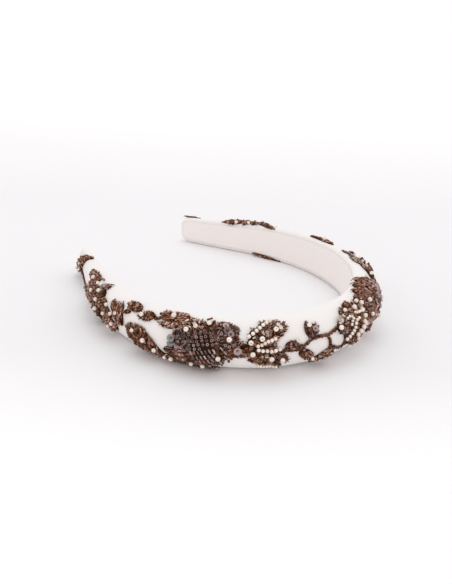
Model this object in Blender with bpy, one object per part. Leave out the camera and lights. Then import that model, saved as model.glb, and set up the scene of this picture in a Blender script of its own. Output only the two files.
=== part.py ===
"""A padded headband lying on its side, with leaves, flowers and pearls sewn to its outer face.

Two sets of coordinates are used, both in millimetres. The band's own shape is worked out from the
centre line of its inner face. Everything sewn on is placed on the outer cloth as if that cloth were
spread flat: ``along`` is the distance from the crown along the outermost line, positive towards the
near arm, and ``across`` is the distance from that line, positive towards the upper edge.
"""

import bpy
import numpy as np

MM = 0.001

# The arch, seen from above: the crown at +Y, the arms towards -Y, and the tips flaring a little.
ARM_LENGTH = 188.0
ARM_TURN = np.radians(103.3)
BEND_SQUARE = -0.48
BEND_FOURTH = -1.31

# Height of the band as it lies, and its padded thickness, each from crown to tip.
CROWN_WIDTH = 25.0
TIP_WIDTH = 16.0
WIDTH_POWER = 1.8
CROWN_THICKNESS = 14.5
TIP_THICKNESS = 4.0
THICKNESS_POWER = 2.65

# The section: a flat edge of this width runs into the dome, whose curve is a superellipse.
EDGE_FLAT = 2.2
DOME_POWER = 2.18
CORNER = 0.6
TIP_CORNER = 4.0

# The ribbon on the inner face lies in a shallow seat.
LINING_INSET = 2.4
LINING_SEAT = 0.9
LINING_THICKNESS = 1.0
LINING_END = 4.0
GAP = 0.3

# What is sewn on.
LEAF_RISE = 1.1
FLOWER_RISE = 1.3
VINE_RISE = 0.8
HEART_RISE = 1.5
PAD_EDGE = 0.3
LEAF_CLEARANCE = 0.35
FLOWER_CLEARANCE = 0.5
VINE_WIDTH = 1.3

# How finely each solid is divided.
BAND_STATIONS = 48
TIP_SHARES = np.array([0.3, 0.6, 0.85, 1.0])
SECTION_ANGLES = np.radians(np.linspace(-90, 90, 10))
LEAF_ROWS = 7
WIDE_LEAF = 5.0
VINE_STEP = 3.0
SPOKES_PER_PETAL = 5
HEART_SPOKES = 16
RING_SHARES = np.array([0.38, 0.70, 1.0])
PEARL_SEGMENTS = 10
PEARL_RINGS = 6
SMOOTH_BAND, SMOOTH_PAD, SMOOTH_PEARL = 40, 50, 60

IVORY = (0.86, 0.83, 0.79)
LINEN = (0.80, 0.75, 0.70)
BROWN = (0.16, 0.085, 0.06)
BRONZE = (0.24, 0.15, 0.11)
ROSE = (0.34, 0.22, 0.20)
PEARL = (0.90, 0.86, 0.80)

# Leaves: where the stalk and the tip lie on the cloth, the width, and how far the middle bows out.
# Of the forms, leaf is widest near its middle, broad nearer its tip and petal near its end, and pod is
# blunt at both ends.
LEAF_COLUMNS = ("name", "form", "along", "across", "tip_along", "tip_across", "width", "bow", "colour")
LEAVES = (
    ("tip_leaf", "leaf", 210.6, -3.8, 187.4, 11.4, 7.4, -1.0, BRONZE),
    ("edge_leaf", "pod", 156.4, 10.2, 172.0, 8.6, 5.6, 0.0, BROWN),
    ("side_leaf", "petal", 151.6, 8.7, 143.4, 12.7, 3.6, 0.0, BRONZE),
    ("lower_leaf", "pod", 140.4, -4.2, 125.8, -3.0, 7.0, 0.0, BROWN),
    ("upright_leaf", "petal", 121.4, 1.2, 128.6, 10.2, 7.8, 0.0, BROWN),
    ("round_leaf", "pod", 112.4, 11.4, 122.2, 11.1, 5.6, 0.0, BROWN),
    ("small_leaf", "leaf", 102.8, 10.8, 113.0, 8.2, 5.2, 0.0, BRONZE),
    ("large_leaf", "broad", 94.6, -8.6, 118.6, 1.6, 12.4, 0.3, BROWN),
    ("twin_leaf_upper", "leaf", 82.4, 14.0, 101.6, 12.6, 5.2, 0.4, BRONZE),
    ("twin_leaf_lower", "leaf", 88.9, 9.3, 100.0, 8.4, 4.0, 0.0, BROWN),
    ("tulip_leaf", "pod", 38.9, 3.2, 32.4, 3.4, 4.8, 0.0, BROWN),
    ("stem_leaf", "pod", 31.4, -0.2, 24.8, -4.9, 4.8, 0.0, BROWN),
    ("slim_leaf", "leaf", 26.8, 5.6, 27.2, 12.9, 3.0, 0.0, BROWN),
    ("sequin_leaf", "petal", 24.2, 5.9, 23.0, 10.2, 3.4, 0.0, ROSE),
    ("hem_leaf", "leaf", 14.2, -2.8, 24.0, -6.8, 5.4, -2.6, BROWN),
    ("low_crown_leaf", "pod", -17.4, -4.8, -27.0, -7.4, 5.0, 0.0, BROWN),
    ("top_leaf", "leaf", -53.8, 14.0, -71.0, 15.0, 5.6, 0.6, BRONZE),
    ("far_leaf_1", "leaf", -74.4, 4.9, -67.4, 9.0, 4.4, 0.0, BROWN),
    ("far_leaf_2", "leaf", -81.8, 3.0, -72.6, -5.0, 5.0, 0.6, BROWN),
    ("far_leaf_3", "petal", -88.0, 8.2, -83.4, 13.2, 4.6, 0.0, ROSE),
    ("far_leaf_4", "leaf", -94.8, 1.4, -87.0, -8.0, 5.4, 0.6, BROWN),
    ("far_top_leaf", "leaf", -117.0, 16.0, -95.6, 17.6, 4.6, 0.4, BRONZE),
    ("far_leaf_5", "pod", -108.6, 1.2, -101.4, -6.4, 5.0, 0.0, BROWN),
    ("far_tip_leaf", "leaf", -190.6, 0.6, -207.0, -3.0, 4.2, 0.6, BRONZE),
)

# Vines: the points that each stem passes through, as pairs of along and across.
VINES = {
    "tip_stem": ((197.0, -4.0), (190.1, -3.2), (181.8, -2.6), (171.2, -0.4)),
    "vine_near": ((30.6, 1.9), (28.6, 3.1), (25.6, 4.3), (21.4, 4.9), (16.8, 4.0), (11.8, 5.4)),
    "vine_branch": ((16.1, 2.7), (15.8, 1.2), (15.1, -1.2)),
    "top_stem": ((-72.6, 14.9), (-78.0, 15.3), (-84.6, 17.2)),
    "crown_stem": ((-50.8, 8.4), (-57.0, 10.2), (-64.0, 9.6)),
    "vine_far": ((-51.6, 2.6), (-64.0, 1.6), (-75.0, 3.6), (-86.0, 6.6), (-97.0, 4.0), (-108.0, 3.2),
                 (-117.0, 3.4)),
    "far_tip_stem": ((-184.6, 3.6), (-190.0, 6.0), (-197.0, 8.2), (-204.0, 8.8), (-211.0, 8.2)),
}

# Flowers: the centre, the radius between the petals, and then for each petal its direction in degrees,
# with 0 towards the near tip and 90 towards the upper edge, its reach, and half of its spread in degrees.
FLOWER_COLUMNS = ("along", "across", "throat", "petals", "colour")
FLOWERS = {
    "side_flower": (149.6, 2.0, 5.4, (
        (-4, 16.4, 30), (46, 8.2, 26), (88, 5.8, 26), (136, 10.4, 24), (168, 13.4, 22),
        (212, 7.0, 24), (262, 8.4, 34), (318, 10.6, 34)), BROWN),
    "main_flower": (76.4, 3.0, 9.0, (
        (8, 15.4, 24), (42, 9.8, 24), (78, 11.4, 24), (118, 12.6, 24), (150, 17.4, 24),
        (188, 18.2, 22), (222, 13.0, 22), (252, 12.6, 22), (286, 14.2, 22), (318, 18.2, 24)), BROWN),
    "pearl_tulip": (49.0, 4.4, 6.6, (
        (6, 8.0, 34), (52, 9.2, 30), (98, 11.6, 30), (142, 14.6, 18),
        (216, 14.4, 17), (236, 14.4, 17), (270, 9.6, 26), (324, 8.8, 30)), BRONZE),
    "crown_flower": (-2.6, 5.4, 7.2, (
        (4, 13.4, 26), (46, 11.2, 26), (88, 11.0, 26), (134, 12.0, 24), (176, 12.8, 24),
        (218, 12.4, 24), (243, 13.2, 20), (268, 12.2, 22), (295, 11.8, 22), (328, 10.6, 24)), BROWN),
    "crown_bloom": (-33.8, 7.8, 8.0, (
        (16, 17.4, 18), (34, 18.6, 15), (62, 14.6, 20), (96, 13.8, 24), (132, 15.2, 22),
        (160, 15.6, 20), (184, 15.8, 24), (220, 13.2, 26), (262, 11.4, 24), (300, 12.6, 24),
        (336, 18.6, 22), (357, 17.6, 20)), BRONZE),
    "far_flower": (-131.4, 0.4, 7.2, (
        (0, 12.0, 28), (45, 10.8, 28), (90, 8.8, 28), (135, 10.8, 28), (180, 12.0, 28),
        (225, 12.6, 28), (270, 11.0, 28), (315, 12.6, 28)), BROWN),
    "far_cluster": (-166.4, 2.0, 6.4, (
        (20, 15.8, 26), (48, 17.2, 20), (76, 14.2, 20), (104, 14.4, 20), (130, 16.0, 18), (152, 17.4, 18),
        (186, 15.6, 26), (232, 9.8, 26), (280, 9.6, 26), (326, 14.0, 28)), BRONZE),
}

# The raised middles of three flowers, sewn over the petals: along, across and radius.
HEARTS = {
    "main_flower_heart": (75.6, 1.6, 6.6),
    "crown_bloom_heart": (-33.8, 7.2, 5.0),
    "far_flower_heart": (-131.4, 0.4, 4.8),
}

# Main pearls: place on the cloth, diameter, and the flower or leaf that lies under them.
PEARL_COLUMNS = ("along", "across", "diameter", "bed")
PEARLS = (
    (145.8, 7.4, 2.0, "side_flower"), (144.8, 3.0, 2.1, "side_flower"), (109.6, 9.0, 2.3, "small_leaf"),
    (112.8, 1.5, 2.3, "large_leaf"), (105.9, -1.1, 2.4, "large_leaf"), (100.0, -4.3, 2.2, "large_leaf"),
    (92.4, 14.0, 2.4, "twin_leaf_upper"), (84.6, 8.4, 2.4, "main_flower"), (64.5, 6.7, 2.5, "main_flower"),
    (68.8, -2.6, 2.4, "main_flower"), (50.0, 7.2, 2.5, "pearl_tulip"), (43.4, 10.5, 2.4, "pearl_tulip"),
    (53.6, 0.8, 2.4, "pearl_tulip"), (45.7, -1.2, 2.4, "pearl_tulip"), (9.0, 5.9, 2.4, "crown_flower"),
    (-4.1, 11.3, 2.4, "crown_flower"), (-174.4, 12.4, 2.2, "far_cluster"),
)


def lay_out_band():
    """Tables along the band. The bend is 1 + a s^2 + b s^4 at the share s of the way to the tip, so the
    direction is its integral, and the line is the integral of the direction."""
    way = np.linspace(0, 1, 801)
    turn = way + BEND_SQUARE * way ** 3 / 3 + BEND_FOURTH * way ** 5 / 5
    turn *= ARM_TURN / turn[-1]
    step = ARM_LENGTH * (way[1] - way[0])
    x = np.append(0, np.cumsum((np.cos(turn[1:]) + np.cos(turn[:-1])) / 2 * step))
    y = np.append(0, np.cumsum((np.sin(turn[1:]) + np.sin(turn[:-1])) / -2 * step))
    y -= (y.max() + y.min()) / 2

    def both_arms(values, sign):
        return np.concatenate([sign * values[:0:-1], values])

    table = {"way": both_arms(way, -1), "x": both_arms(x, -1), "y": both_arms(y, 1)}
    table["turn"] = both_arms(turn, -1)
    reach = np.abs(table["way"])
    table["width"] = TIP_WIDTH + (CROWN_WIDTH - TIP_WIDTH) * (1 - reach ** WIDTH_POWER)
    thinning = 1 - reach ** THICKNESS_POWER
    table["thickness"] = TIP_THICKNESS + (CROWN_THICKNESS - TIP_THICKNESS) * thinning
    outer_x = table["x"] + np.sin(table["turn"]) * table["thickness"]
    outer_y = table["y"] + np.cos(table["turn"]) * table["thickness"]
    along = np.append(0, np.cumsum(np.hypot(np.diff(outer_x), np.diff(outer_y))))
    table["along"] = along - along[len(way) - 1]
    return table


BAND = lay_out_band()


def band_values(key, at, *names):
    """The named columns of the band's table where the column ``key`` has the value ``at``."""
    return [np.interp(at, BAND[key], BAND[name]) for name in names]


def dome(width, thickness, angle):
    """Distance out from the inner face and height above the middle of the section at an angle of the
    superellipse, from -90 degrees at the lower edge to 90 at the upper."""
    power = 2 / DOME_POWER
    out = EDGE_FLAT + (thickness - EDGE_FLAT) * np.abs(np.cos(angle)) ** power
    up = width / 2 * np.sign(angle) * np.abs(np.sin(angle)) ** power
    return out, up


def on_cloth(along, across, height):
    """World points in millimetres at a height above the outer cloth.

    The dome's length is summed from its outermost line to give the angle at each ``across``. Past the
    dome the cloth runs on over the flat edge.
    """
    along, across, height = np.broadcast_arrays(*(np.asarray(v, float) for v in (along, across, height)))
    shape = along.shape
    along, across, height = along.ravel(), across.ravel(), height.ravel()
    x, y, turn, width, thickness = band_values("along", along, "x", "y", "turn", "width", "thickness")
    angles = np.linspace(0, np.pi / 2, 61)
    out, up = dome(width[:, None], thickness[:, None], angles[None] + 1e-9)
    lengths = np.cumsum(np.hypot(np.diff(out, axis=1), np.diff(up, axis=1)), axis=1)
    lengths = np.insert(lengths, 0, 0, axis=1)
    far = np.abs(across)
    row = np.arange(len(far))
    cell = np.clip((lengths <= far[:, None]).sum(axis=1), 1, len(angles) - 1)
    span = lengths[row, cell] - lengths[row, cell - 1]
    share = np.clip((far - lengths[row, cell - 1]) / span, 0, 1)

    def blend(table):
        return table[row, cell - 1] * (1 - share) + table[row, cell] * share

    past = np.maximum(far - lengths[:, -1], 0)
    slope_out = out[row, cell] - out[row, cell - 1]
    slope_up = up[row, cell] - up[row, cell - 1]
    steep = np.hypot(slope_out, slope_up)
    side = np.where(across < 0, -1.0, 1.0)
    away = blend(out) - past + height * slope_up / steep
    lift = width / 2 + side * (blend(up) - height * slope_out / steep)
    points = np.stack([x + np.sin(turn) * away, y + np.cos(turn) * away, lift], axis=1)
    return points.reshape(shape + (3,))


def material(name, colour, roughness, metallic=0.0):
    made = bpy.data.materials.new(name)
    made.use_nodes = True
    shader = made.node_tree.nodes["Principled BSDF"]
    shader.inputs["Base Color"].default_value = (*colour, 1)
    shader.inputs["Roughness"].default_value = roughness
    shader.inputs["Metallic"].default_value = metallic
    return made


def add_object(name, points, faces, look, smooth_angle=None):
    """A named object from points in millimetres and faces that point outwards."""
    mesh = bpy.data.meshes.new(name)
    corners = np.asarray(points).reshape(-1, 3) * MM
    mesh.from_pydata(corners.tolist(), [], [list(map(int, face)) for face in faces])
    mesh.validate()
    if smooth_angle is not None:
        mesh.shade_smooth()
        mesh.set_sharp_from_angle(angle=np.radians(smooth_angle))
    mesh.materials.append(look)
    made = bpy.data.objects.new(name, mesh)
    bpy.context.scene.collection.objects.link(made)
    return made


def loft(rows, columns):
    """Faces of a closed tube of ``rows`` rings with ``columns`` points each, and its two end faces."""
    here = np.arange(columns)
    after = np.roll(here, -1)
    faces = []
    for row in range(rows - 1):
        low, high = row * columns, (row + 1) * columns
        faces += np.stack([low + here, low + after, high + after, high + here], axis=1).tolist()
    last = (rows - 1) * columns
    return [list(here[::-1])] + faces + [list(last + here)]


def tip_squeeze(way, corner):
    """How much of the width is lost at this share of the way, where the tip's corners are rounded."""
    left = ARM_LENGTH * (1 - np.abs(way))
    run = np.clip(1 - left / corner, 0, 1)
    return corner * (1 - np.sqrt(1 - run ** 2))


def band_ways():
    """Shares of the way at which the band gets a section: even steps, and closer at the rounded tips."""
    inner = 1 - TIP_CORNER / ARM_LENGTH
    even = np.linspace(-inner, inner, BAND_STATIONS)
    tips = inner + (1 - inner) * TIP_SHARES
    return np.concatenate([-tips[::-1], even, tips])


def section_points(way, outs, ups):
    """World points of a section drawn with ``outs`` from the inner face and ``ups`` above the surface."""
    x, y, turn = band_values("way", way, "x", "y", "turn")
    return np.stack([x + np.sin(turn) * outs, y + np.cos(turn) * outs, ups + 0 * outs], axis=1)


def padded_band():
    """The band: flat inside with a shallow seat for the lining, flat edges, and a domed outer face."""
    rings = []
    for way in band_ways():
        width, thickness = band_values("way", way, "width", "thickness")
        lost = tip_squeeze(way, TIP_CORNER)
        out, up = dome(width - 2 * lost, thickness, SECTION_ANGLES)
        low, high = lost, width - lost
        seat = LINING_SEAT
        seat_low, seat_high = lost + LINING_INSET, width - lost - LINING_INSET
        outs = np.array([CORNER, *out, CORNER, 0, 0, seat, seat, 0, 0])
        ups = np.array([low, *(up + width / 2), high, high - CORNER, seat_high, seat_high,
                        seat_low, seat_low, low + CORNER])
        rings.append(section_points(way, outs, ups))
    columns = len(rings[0])
    look = material("ivory_cover", IVORY, 0.75)
    return add_object("padded_band", rings, loft(len(rings), columns), look, SMOOTH_BAND)


def lining():
    """The ribbon in its seat: a plain strip that stops short of the tips."""
    rings = []
    end = 1 - LINING_END / ARM_LENGTH
    for way in np.unique(np.clip(band_ways(), -end, end)):
        width = band_values("way", way, "width")[0]
        lost = tip_squeeze(way, TIP_CORNER) + LINING_INSET + GAP
        back = LINING_SEAT - GAP
        front = back - LINING_THICKNESS
        outs = np.array([front, back, back, front])
        ups = np.array([lost, lost, width - lost, width - lost])
        rings.append(section_points(way, outs, ups))
    look = material("linen_lining", LINEN, 0.85)
    return add_object("lining", rings, loft(len(rings), 4), look, SMOOTH_BAND)


def pad(name, along, across, rise, clearance, look):
    """A closed pad sewn flat on the cloth, from a grid of rows along it and columns across it."""
    rows, columns = along.shape
    bottom = on_cloth(along, across, clearance)
    top = on_cloth(along, across, clearance + rise)
    number = np.arange(rows * columns).reshape(rows, columns)
    upper = number + rows * columns
    faces = []
    for row in range(rows - 1):
        for column in range(columns - 1):
            quad = [(row, column), (row + 1, column), (row + 1, column + 1), (row, column + 1)]
            faces.append([upper[q] for q in quad])
            faces.append([number[q] for q in reversed(quad)])
    border = [(row, 0) for row in range(rows)]
    border += [(rows - 1, column) for column in range(1, columns)]
    border += [(row, columns - 1) for row in range(rows - 2, -1, -1)]
    border += [(0, column) for column in range(columns - 2, 0, -1)]
    for here, after in zip(border, border[1:] + border[:1]):
        faces.append([number[here], number[after], upper[after], upper[here]])
    points = np.concatenate([bottom.reshape(-1, 3), top.reshape(-1, 3)])
    made = add_object(name, points, faces, look, SMOOTH_PAD)
    face_outwards(made)
    return made


def face_outwards(made):
    """Turns a closed mesh the right way out where its signed volume is negative."""
    mesh = made.data
    mesh.calc_loop_triangles()
    corners = np.array([v.co[:] for v in mesh.vertices])
    triangles = np.array([t.vertices[:] for t in mesh.loop_triangles])
    a, b, c = (corners[triangles[:, i]] for i in range(3))
    if (a * np.cross(b, c)).sum() < 0:
        mesh.flip_normals()


def outline_width(form, share):
    """Half of the width, as a share of its most, from the stalk at 0 to the tip at 1."""
    if form == "leaf":
        return 0.10 + 0.90 * np.sin(np.pi * share ** 0.85) ** 0.9
    if form == "broad":
        return 0.10 + 0.90 * np.sin(np.pi * share ** 1.4) ** 0.8
    if form == "petal":
        return 0.16 + 0.84 * share ** 0.6 * (1 - share ** 5) ** 0.4
    return 0.34 + 0.66 * np.sin(np.pi * share) ** 0.5


def leaf_frame(spec):
    """The stalk's place, the way from there to the tip, and the direction across the leaf."""
    start = np.array([spec["along"], spec["across"]])
    run = np.array([spec["tip_along"], spec["tip_across"]]) - start
    aside = np.array([-run[1], run[0]]) / np.hypot(*run)
    return start, run, aside


def leaf_rise(share, cross):
    """Height of a leaf: a parabola across it, lower towards the stalk and the tip."""
    return PAD_EDGE + (LEAF_RISE - PAD_EDGE) * (1 - cross ** 2) * np.sin(np.pi * (0.12 + 0.76 * share))


def leaf(row):
    """One leaf or petal: its middle line bows out as half a sine wave."""
    spec = dict(zip(LEAF_COLUMNS, row))
    start, run, aside = leaf_frame(spec)
    share = np.linspace(0, 1, LEAF_ROWS)
    middle = start + share[:, None] * run + spec["bow"] * np.sin(np.pi * share)[:, None] * aside
    cross = np.linspace(-1, 1, 5 if spec["width"] > WIDE_LEAF else 3)
    half = spec["width"] / 2 * outline_width(spec["form"], share)
    grid = middle[:, None] + (half[:, None] * cross)[..., None] * aside
    look = material(spec["name"] + "_beads", spec["colour"], 0.35, 0.2)
    rise = leaf_rise(share[:, None], cross)
    return pad(spec["name"], grid[..., 0], grid[..., 1], rise, LEAF_CLEARANCE, look)


def smooth_path(points, count):
    """Even steps along the Catmull-Rom curve through the points."""
    points = np.asarray(points, float)
    ends = np.concatenate([[2 * points[0] - points[1]], points, [2 * points[-1] - points[-2]]])
    at = np.linspace(0, len(points) - 1 - 1e-9, 200)
    cell, t = at.astype(int), (at % 1)[:, None]
    p0, p1, p2, p3 = (ends[cell + i] for i in range(4))
    curve = 0.5 * (2 * p1 + (p2 - p0) * t + (2 * p0 - 5 * p1 + 4 * p2 - p3) * t ** 2
                   + (3 * p1 - p0 - 3 * p2 + p3) * t ** 3)
    length = np.append(0, np.cumsum(np.hypot(*np.diff(curve, axis=0).T)))
    even = np.linspace(0, length[-1], count)
    return np.stack([np.interp(even, length, curve[:, i]) for i in range(2)], axis=1)


def vine(name, points):
    """A stem: a narrow pad along a smooth line."""
    length = np.hypot(*np.diff(np.asarray(points), axis=0).T).sum()
    middle = smooth_path(points, max(6, int(length / VINE_STEP)))
    run = np.gradient(middle, axis=0)
    aside = np.stack([-run[:, 1], run[:, 0]], axis=1) / np.hypot(*run.T)[:, None]
    cross = np.array([-1.0, 0.0, 1.0])
    grid = middle[:, None] + (VINE_WIDTH / 2 * cross)[None, :, None] * aside[:, None]
    rise = PAD_EDGE + (VINE_RISE - PAD_EDGE) * (1 - cross ** 2) + 0 * grid[..., 0]
    look = material(name + "_beads", BROWN, 0.4, 0.2)
    return pad(name, grid[..., 0], grid[..., 1], rise, LEAF_CLEARANCE, look)


def flower_outline(throat, petals, direction):
    """Reach in each direction: the furthest petal there, each a rounded lobe about its own direction."""
    reach = np.full(len(direction), float(throat))
    for angle, length, spread in petals:
        apart = np.abs((direction - angle + 180) % 360 - 180) / spread
        lobe = throat + (length - throat) * np.clip(1 - apart ** 2, 0, 1) ** 0.6
        reach = np.maximum(reach, lobe)
    return reach


def rosette(name, along, across, reach, rise_at, clearance, look):
    """A closed round pad: rings of points about a centre, at growing shares of the reach."""
    direction = np.radians(np.linspace(0, 360, len(reach), endpoint=False))
    shares = RING_SHARES
    radius = shares[:, None] * reach
    grid_along = along + radius * np.cos(direction)
    grid_across = across + radius * np.sin(direction)
    rise = rise_at(shares)[:, None] + 0 * radius
    spokes = len(reach)
    bottom = on_cloth(grid_along, grid_across, clearance).reshape(-1, 3)
    top = on_cloth(grid_along, grid_across, clearance + rise).reshape(-1, 3)
    top_hub = clearance + float(rise_at(np.zeros(1))[0])
    hubs = on_cloth([along, along], [across, across], [clearance, top_hub])
    points = np.concatenate([bottom, top, hubs])
    upper = len(bottom)
    hub_low, hub_high = 2 * len(bottom), 2 * len(bottom) + 1
    outer = (len(shares) - 1) * spokes
    faces = []
    for here in range(spokes):
        after = (here + 1) % spokes
        faces.append([hub_high, upper + here, upper + after])
        faces.append([hub_low, after, here])
        for ring in range(len(shares) - 1):
            low, high = ring * spokes, (ring + 1) * spokes
            quad = np.array([low + here, high + here, high + after, low + after])
            faces.append(list(upper + quad))
            faces.append(list(quad[::-1]))
        faces.append([outer + here, outer + after, upper + outer + after, upper + outer + here])
    made = add_object(name, points, faces, look, SMOOTH_PAD)
    face_outwards(made)
    return made


def flower_rise(share):
    """Height of a flower: a quarter of an ellipse from its middle to its rim."""
    return PAD_EDGE + (FLOWER_RISE - PAD_EDGE) * np.sqrt(1 - 0.98 * share ** 2)


def flower(name, row):
    """A whole flower in one piece, low at its rim and raised towards the middle."""
    spec = dict(zip(FLOWER_COLUMNS, row))
    direction = np.linspace(0, 360, SPOKES_PER_PETAL * len(spec["petals"]), endpoint=False)
    reach = flower_outline(spec["throat"], spec["petals"], direction)
    look = material(name + "_beads", spec["colour"], 0.35, 0.2)
    return rosette(name, spec["along"], spec["across"], reach, flower_rise, FLOWER_CLEARANCE, look)


def heart(name, row):
    """The raised round middle of a flower, over its petals."""
    along, across, radius = row

    def rise_at(share):
        return PAD_EDGE + (HEART_RISE - PAD_EDGE) * np.sqrt(1 - 0.98 * share ** 2)

    clearance = FLOWER_CLEARANCE + FLOWER_RISE + GAP
    look = material(name + "_beads", BRONZE, 0.3, 0.3)
    return rosette(name, along, across, np.full(HEART_SPOKES, float(radius)), rise_at, clearance, look)


def bed_height(name, along, across):
    """Height above the cloth of the flower or leaf of this name at a place."""
    if name in FLOWERS:
        spec = dict(zip(FLOWER_COLUMNS, FLOWERS[name]))
        place = np.array([along - spec["along"], across - spec["across"]])
        direction = np.degrees(np.arctan2(place[1], place[0]))
        reach = flower_outline(spec["throat"], spec["petals"], np.array([direction]))[0]
        return FLOWER_CLEARANCE + flower_rise(min(np.hypot(*place) / reach, 1))
    row = next(row for row in LEAVES if row[0] == name)
    spec = dict(zip(LEAF_COLUMNS, row))
    start, run, aside = leaf_frame(spec)
    place = np.array([along, across]) - start
    share = place @ run / (run @ run)
    cross = (place @ aside - spec["bow"] * np.sin(np.pi * share)) * 2 / spec["width"]
    return LEAF_CLEARANCE + leaf_rise(share, cross / outline_width(spec["form"], share))


def pearl(number, row):
    """One round pearl, standing just clear of what it is sewn to."""
    spec = dict(zip(PEARL_COLUMNS, row))
    radius = spec["diameter"] / 2
    bed = bed_height(spec["bed"], spec["along"], spec["across"])
    centre = on_cloth(spec["along"], spec["across"], bed + GAP + radius)
    tilt = np.pi * np.arange(1, PEARL_RINGS) / PEARL_RINGS
    spin = 2 * np.pi * np.arange(PEARL_SEGMENTS) / PEARL_SEGMENTS
    ring = np.stack([np.sin(tilt)[:, None] * np.cos(spin), np.sin(tilt)[:, None] * np.sin(spin),
                     np.cos(tilt)[:, None] + 0 * spin], axis=2).reshape(-1, 3)
    points = centre + radius * np.concatenate([[[0, 0, 1]], ring, [[0, 0, -1]]])
    last = len(points) - 1
    faces = []
    for here in range(PEARL_SEGMENTS):
        after = (here + 1) % PEARL_SEGMENTS
        faces.append([0, 1 + here, 1 + after])
        for row_number in range(PEARL_RINGS - 2):
            low = 1 + row_number * PEARL_SEGMENTS
            high = low + PEARL_SEGMENTS
            faces.append([low + here, high + here, high + after, low + after])
        bottom = last - PEARL_SEGMENTS
        faces.append([bottom + here, last, bottom + after])
    name = "pearl_%02d" % number
    made = add_object(name, points, faces, material(name, PEARL, 0.2), SMOOTH_PEARL)
    face_outwards(made)
    return made


def centre_on_base(objects):
    """Moves every mesh so that the origin is the middle of the whole part's base."""
    corners = np.concatenate([[v.co[:] for v in made.data.vertices] for made in objects])
    low, high = corners.min(axis=0), corners.max(axis=0)
    shift = np.array([-(low[0] + high[0]) / 2, -(low[1] + high[1]) / 2, -low[2]])
    for made in objects:
        for vertex in made.data.vertices:
            vertex.co = np.array(vertex.co) + shift


def main():
    for old in list(bpy.data.objects):
        bpy.data.objects.remove(old)
    objects = [padded_band(), lining()]
    objects += [leaf(row) for row in LEAVES]
    objects += [vine(name, points) for name, points in VINES.items()]
    objects += [flower(name, row) for name, row in FLOWERS.items()]
    objects += [heart(name, row) for name, row in HEARTS.items()]
    objects += [pearl(number, row) for number, row in enumerate(PEARLS, 1)]
    centre_on_base(objects)


main()
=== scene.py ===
"""A padded ivory headband with floral beadwork, lying on its side on a pale table.

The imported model's box gives the band's place. Everything sewn to the band is placed on its cloth as if
that cloth were spread flat: ``along`` is the distance in millimetres from the crown's middle, positive
towards the nearer tip, and ``across`` is the distance from the outermost line, positive towards the
upper edge. Both run over the rim and a little way down the inner face.
"""

from itertools import zip_longest

import bpy
import numpy as np
from mathutils import Matrix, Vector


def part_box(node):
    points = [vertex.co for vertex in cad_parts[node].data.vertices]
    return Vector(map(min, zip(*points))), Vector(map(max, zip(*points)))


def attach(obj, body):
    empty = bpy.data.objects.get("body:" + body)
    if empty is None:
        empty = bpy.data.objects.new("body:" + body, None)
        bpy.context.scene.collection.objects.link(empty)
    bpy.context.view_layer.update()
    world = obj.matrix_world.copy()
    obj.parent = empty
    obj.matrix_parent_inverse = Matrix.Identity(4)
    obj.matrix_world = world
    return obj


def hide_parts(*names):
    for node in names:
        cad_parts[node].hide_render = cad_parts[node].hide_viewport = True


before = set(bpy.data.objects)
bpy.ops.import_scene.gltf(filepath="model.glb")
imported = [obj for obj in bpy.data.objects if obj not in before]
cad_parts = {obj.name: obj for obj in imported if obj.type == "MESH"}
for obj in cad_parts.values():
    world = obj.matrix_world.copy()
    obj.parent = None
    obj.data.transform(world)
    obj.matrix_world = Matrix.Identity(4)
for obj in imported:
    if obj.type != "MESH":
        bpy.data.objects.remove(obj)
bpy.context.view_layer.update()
RANDOM = np.random.default_rng(11)
MM = 0.001

# The arch and its section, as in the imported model. The edge and the tips' corners are rounded a little
# more, as stuffed cloth is.
ARM_LENGTH = 188.0
ARM_TURN = np.radians(103.3)
BEND_SQUARE = -0.48
BEND_FOURTH = -1.31
CROWN_WIDTH = 25.0
TIP_WIDTH = 16.0
WIDTH_POWER = 1.8
CROWN_THICKNESS = 14.5
TIP_THICKNESS = 4.0
THICKNESS_POWER = 2.65
EDGE_FLAT = 2.2
EDGE_ROUND_OUT = 1.7
EDGE_ROUND_DOWN = 2.0
DOME_POWER = 2.18
TIP_CORNER = 6.0
INNER_REACH = 4.5

# Heights of the padded ground above the cloth, how far its underside sinks in, and the least height of
# a bead above the table.
GROUND_LEAF = 0.40
LEAF_RIDGE = 0.35
GROUND_FLOWER = 0.35
FLOWER_SWELL = 0.55
PETAL_RIDGE = 0.45
GROUND_STEM = 0.40
SINK = 0.12
TABLE_GAP = 0.03

# Beads: length, radius and hole radius. Coiled wires: radius, how far the middle stands up, and the gap
# from one column of them to the next.
SEED = (1.05, 0.72, 0.30)
SMALL_SEED = (0.85, 0.55, 0.20)
PEARL_HOLE = 0.27
WIRE_RADIUS = 0.25
WIRE_ARCH = 0.30
WIRE_GAP = 0.37

# Pearls: how far they stand off their bed, alone and strung, and the step from one strung pearl to the
# next as a share of the diameter. The room that ring beads leave round them, how far those stand off, and
# their least size and what it may be more, as shares.
PEARL_LIFT = 0.35
STRING_LIFT = 0.15
STRING_STEP = 1.04
PEARL_ROOM = 0.35
RING_LIFT = 0.35
RING_LEAST, RING_MORE = 0.93, 0.14

# The step along a line that is only followed, not sewn.
PATH_STEP = 0.2


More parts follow.
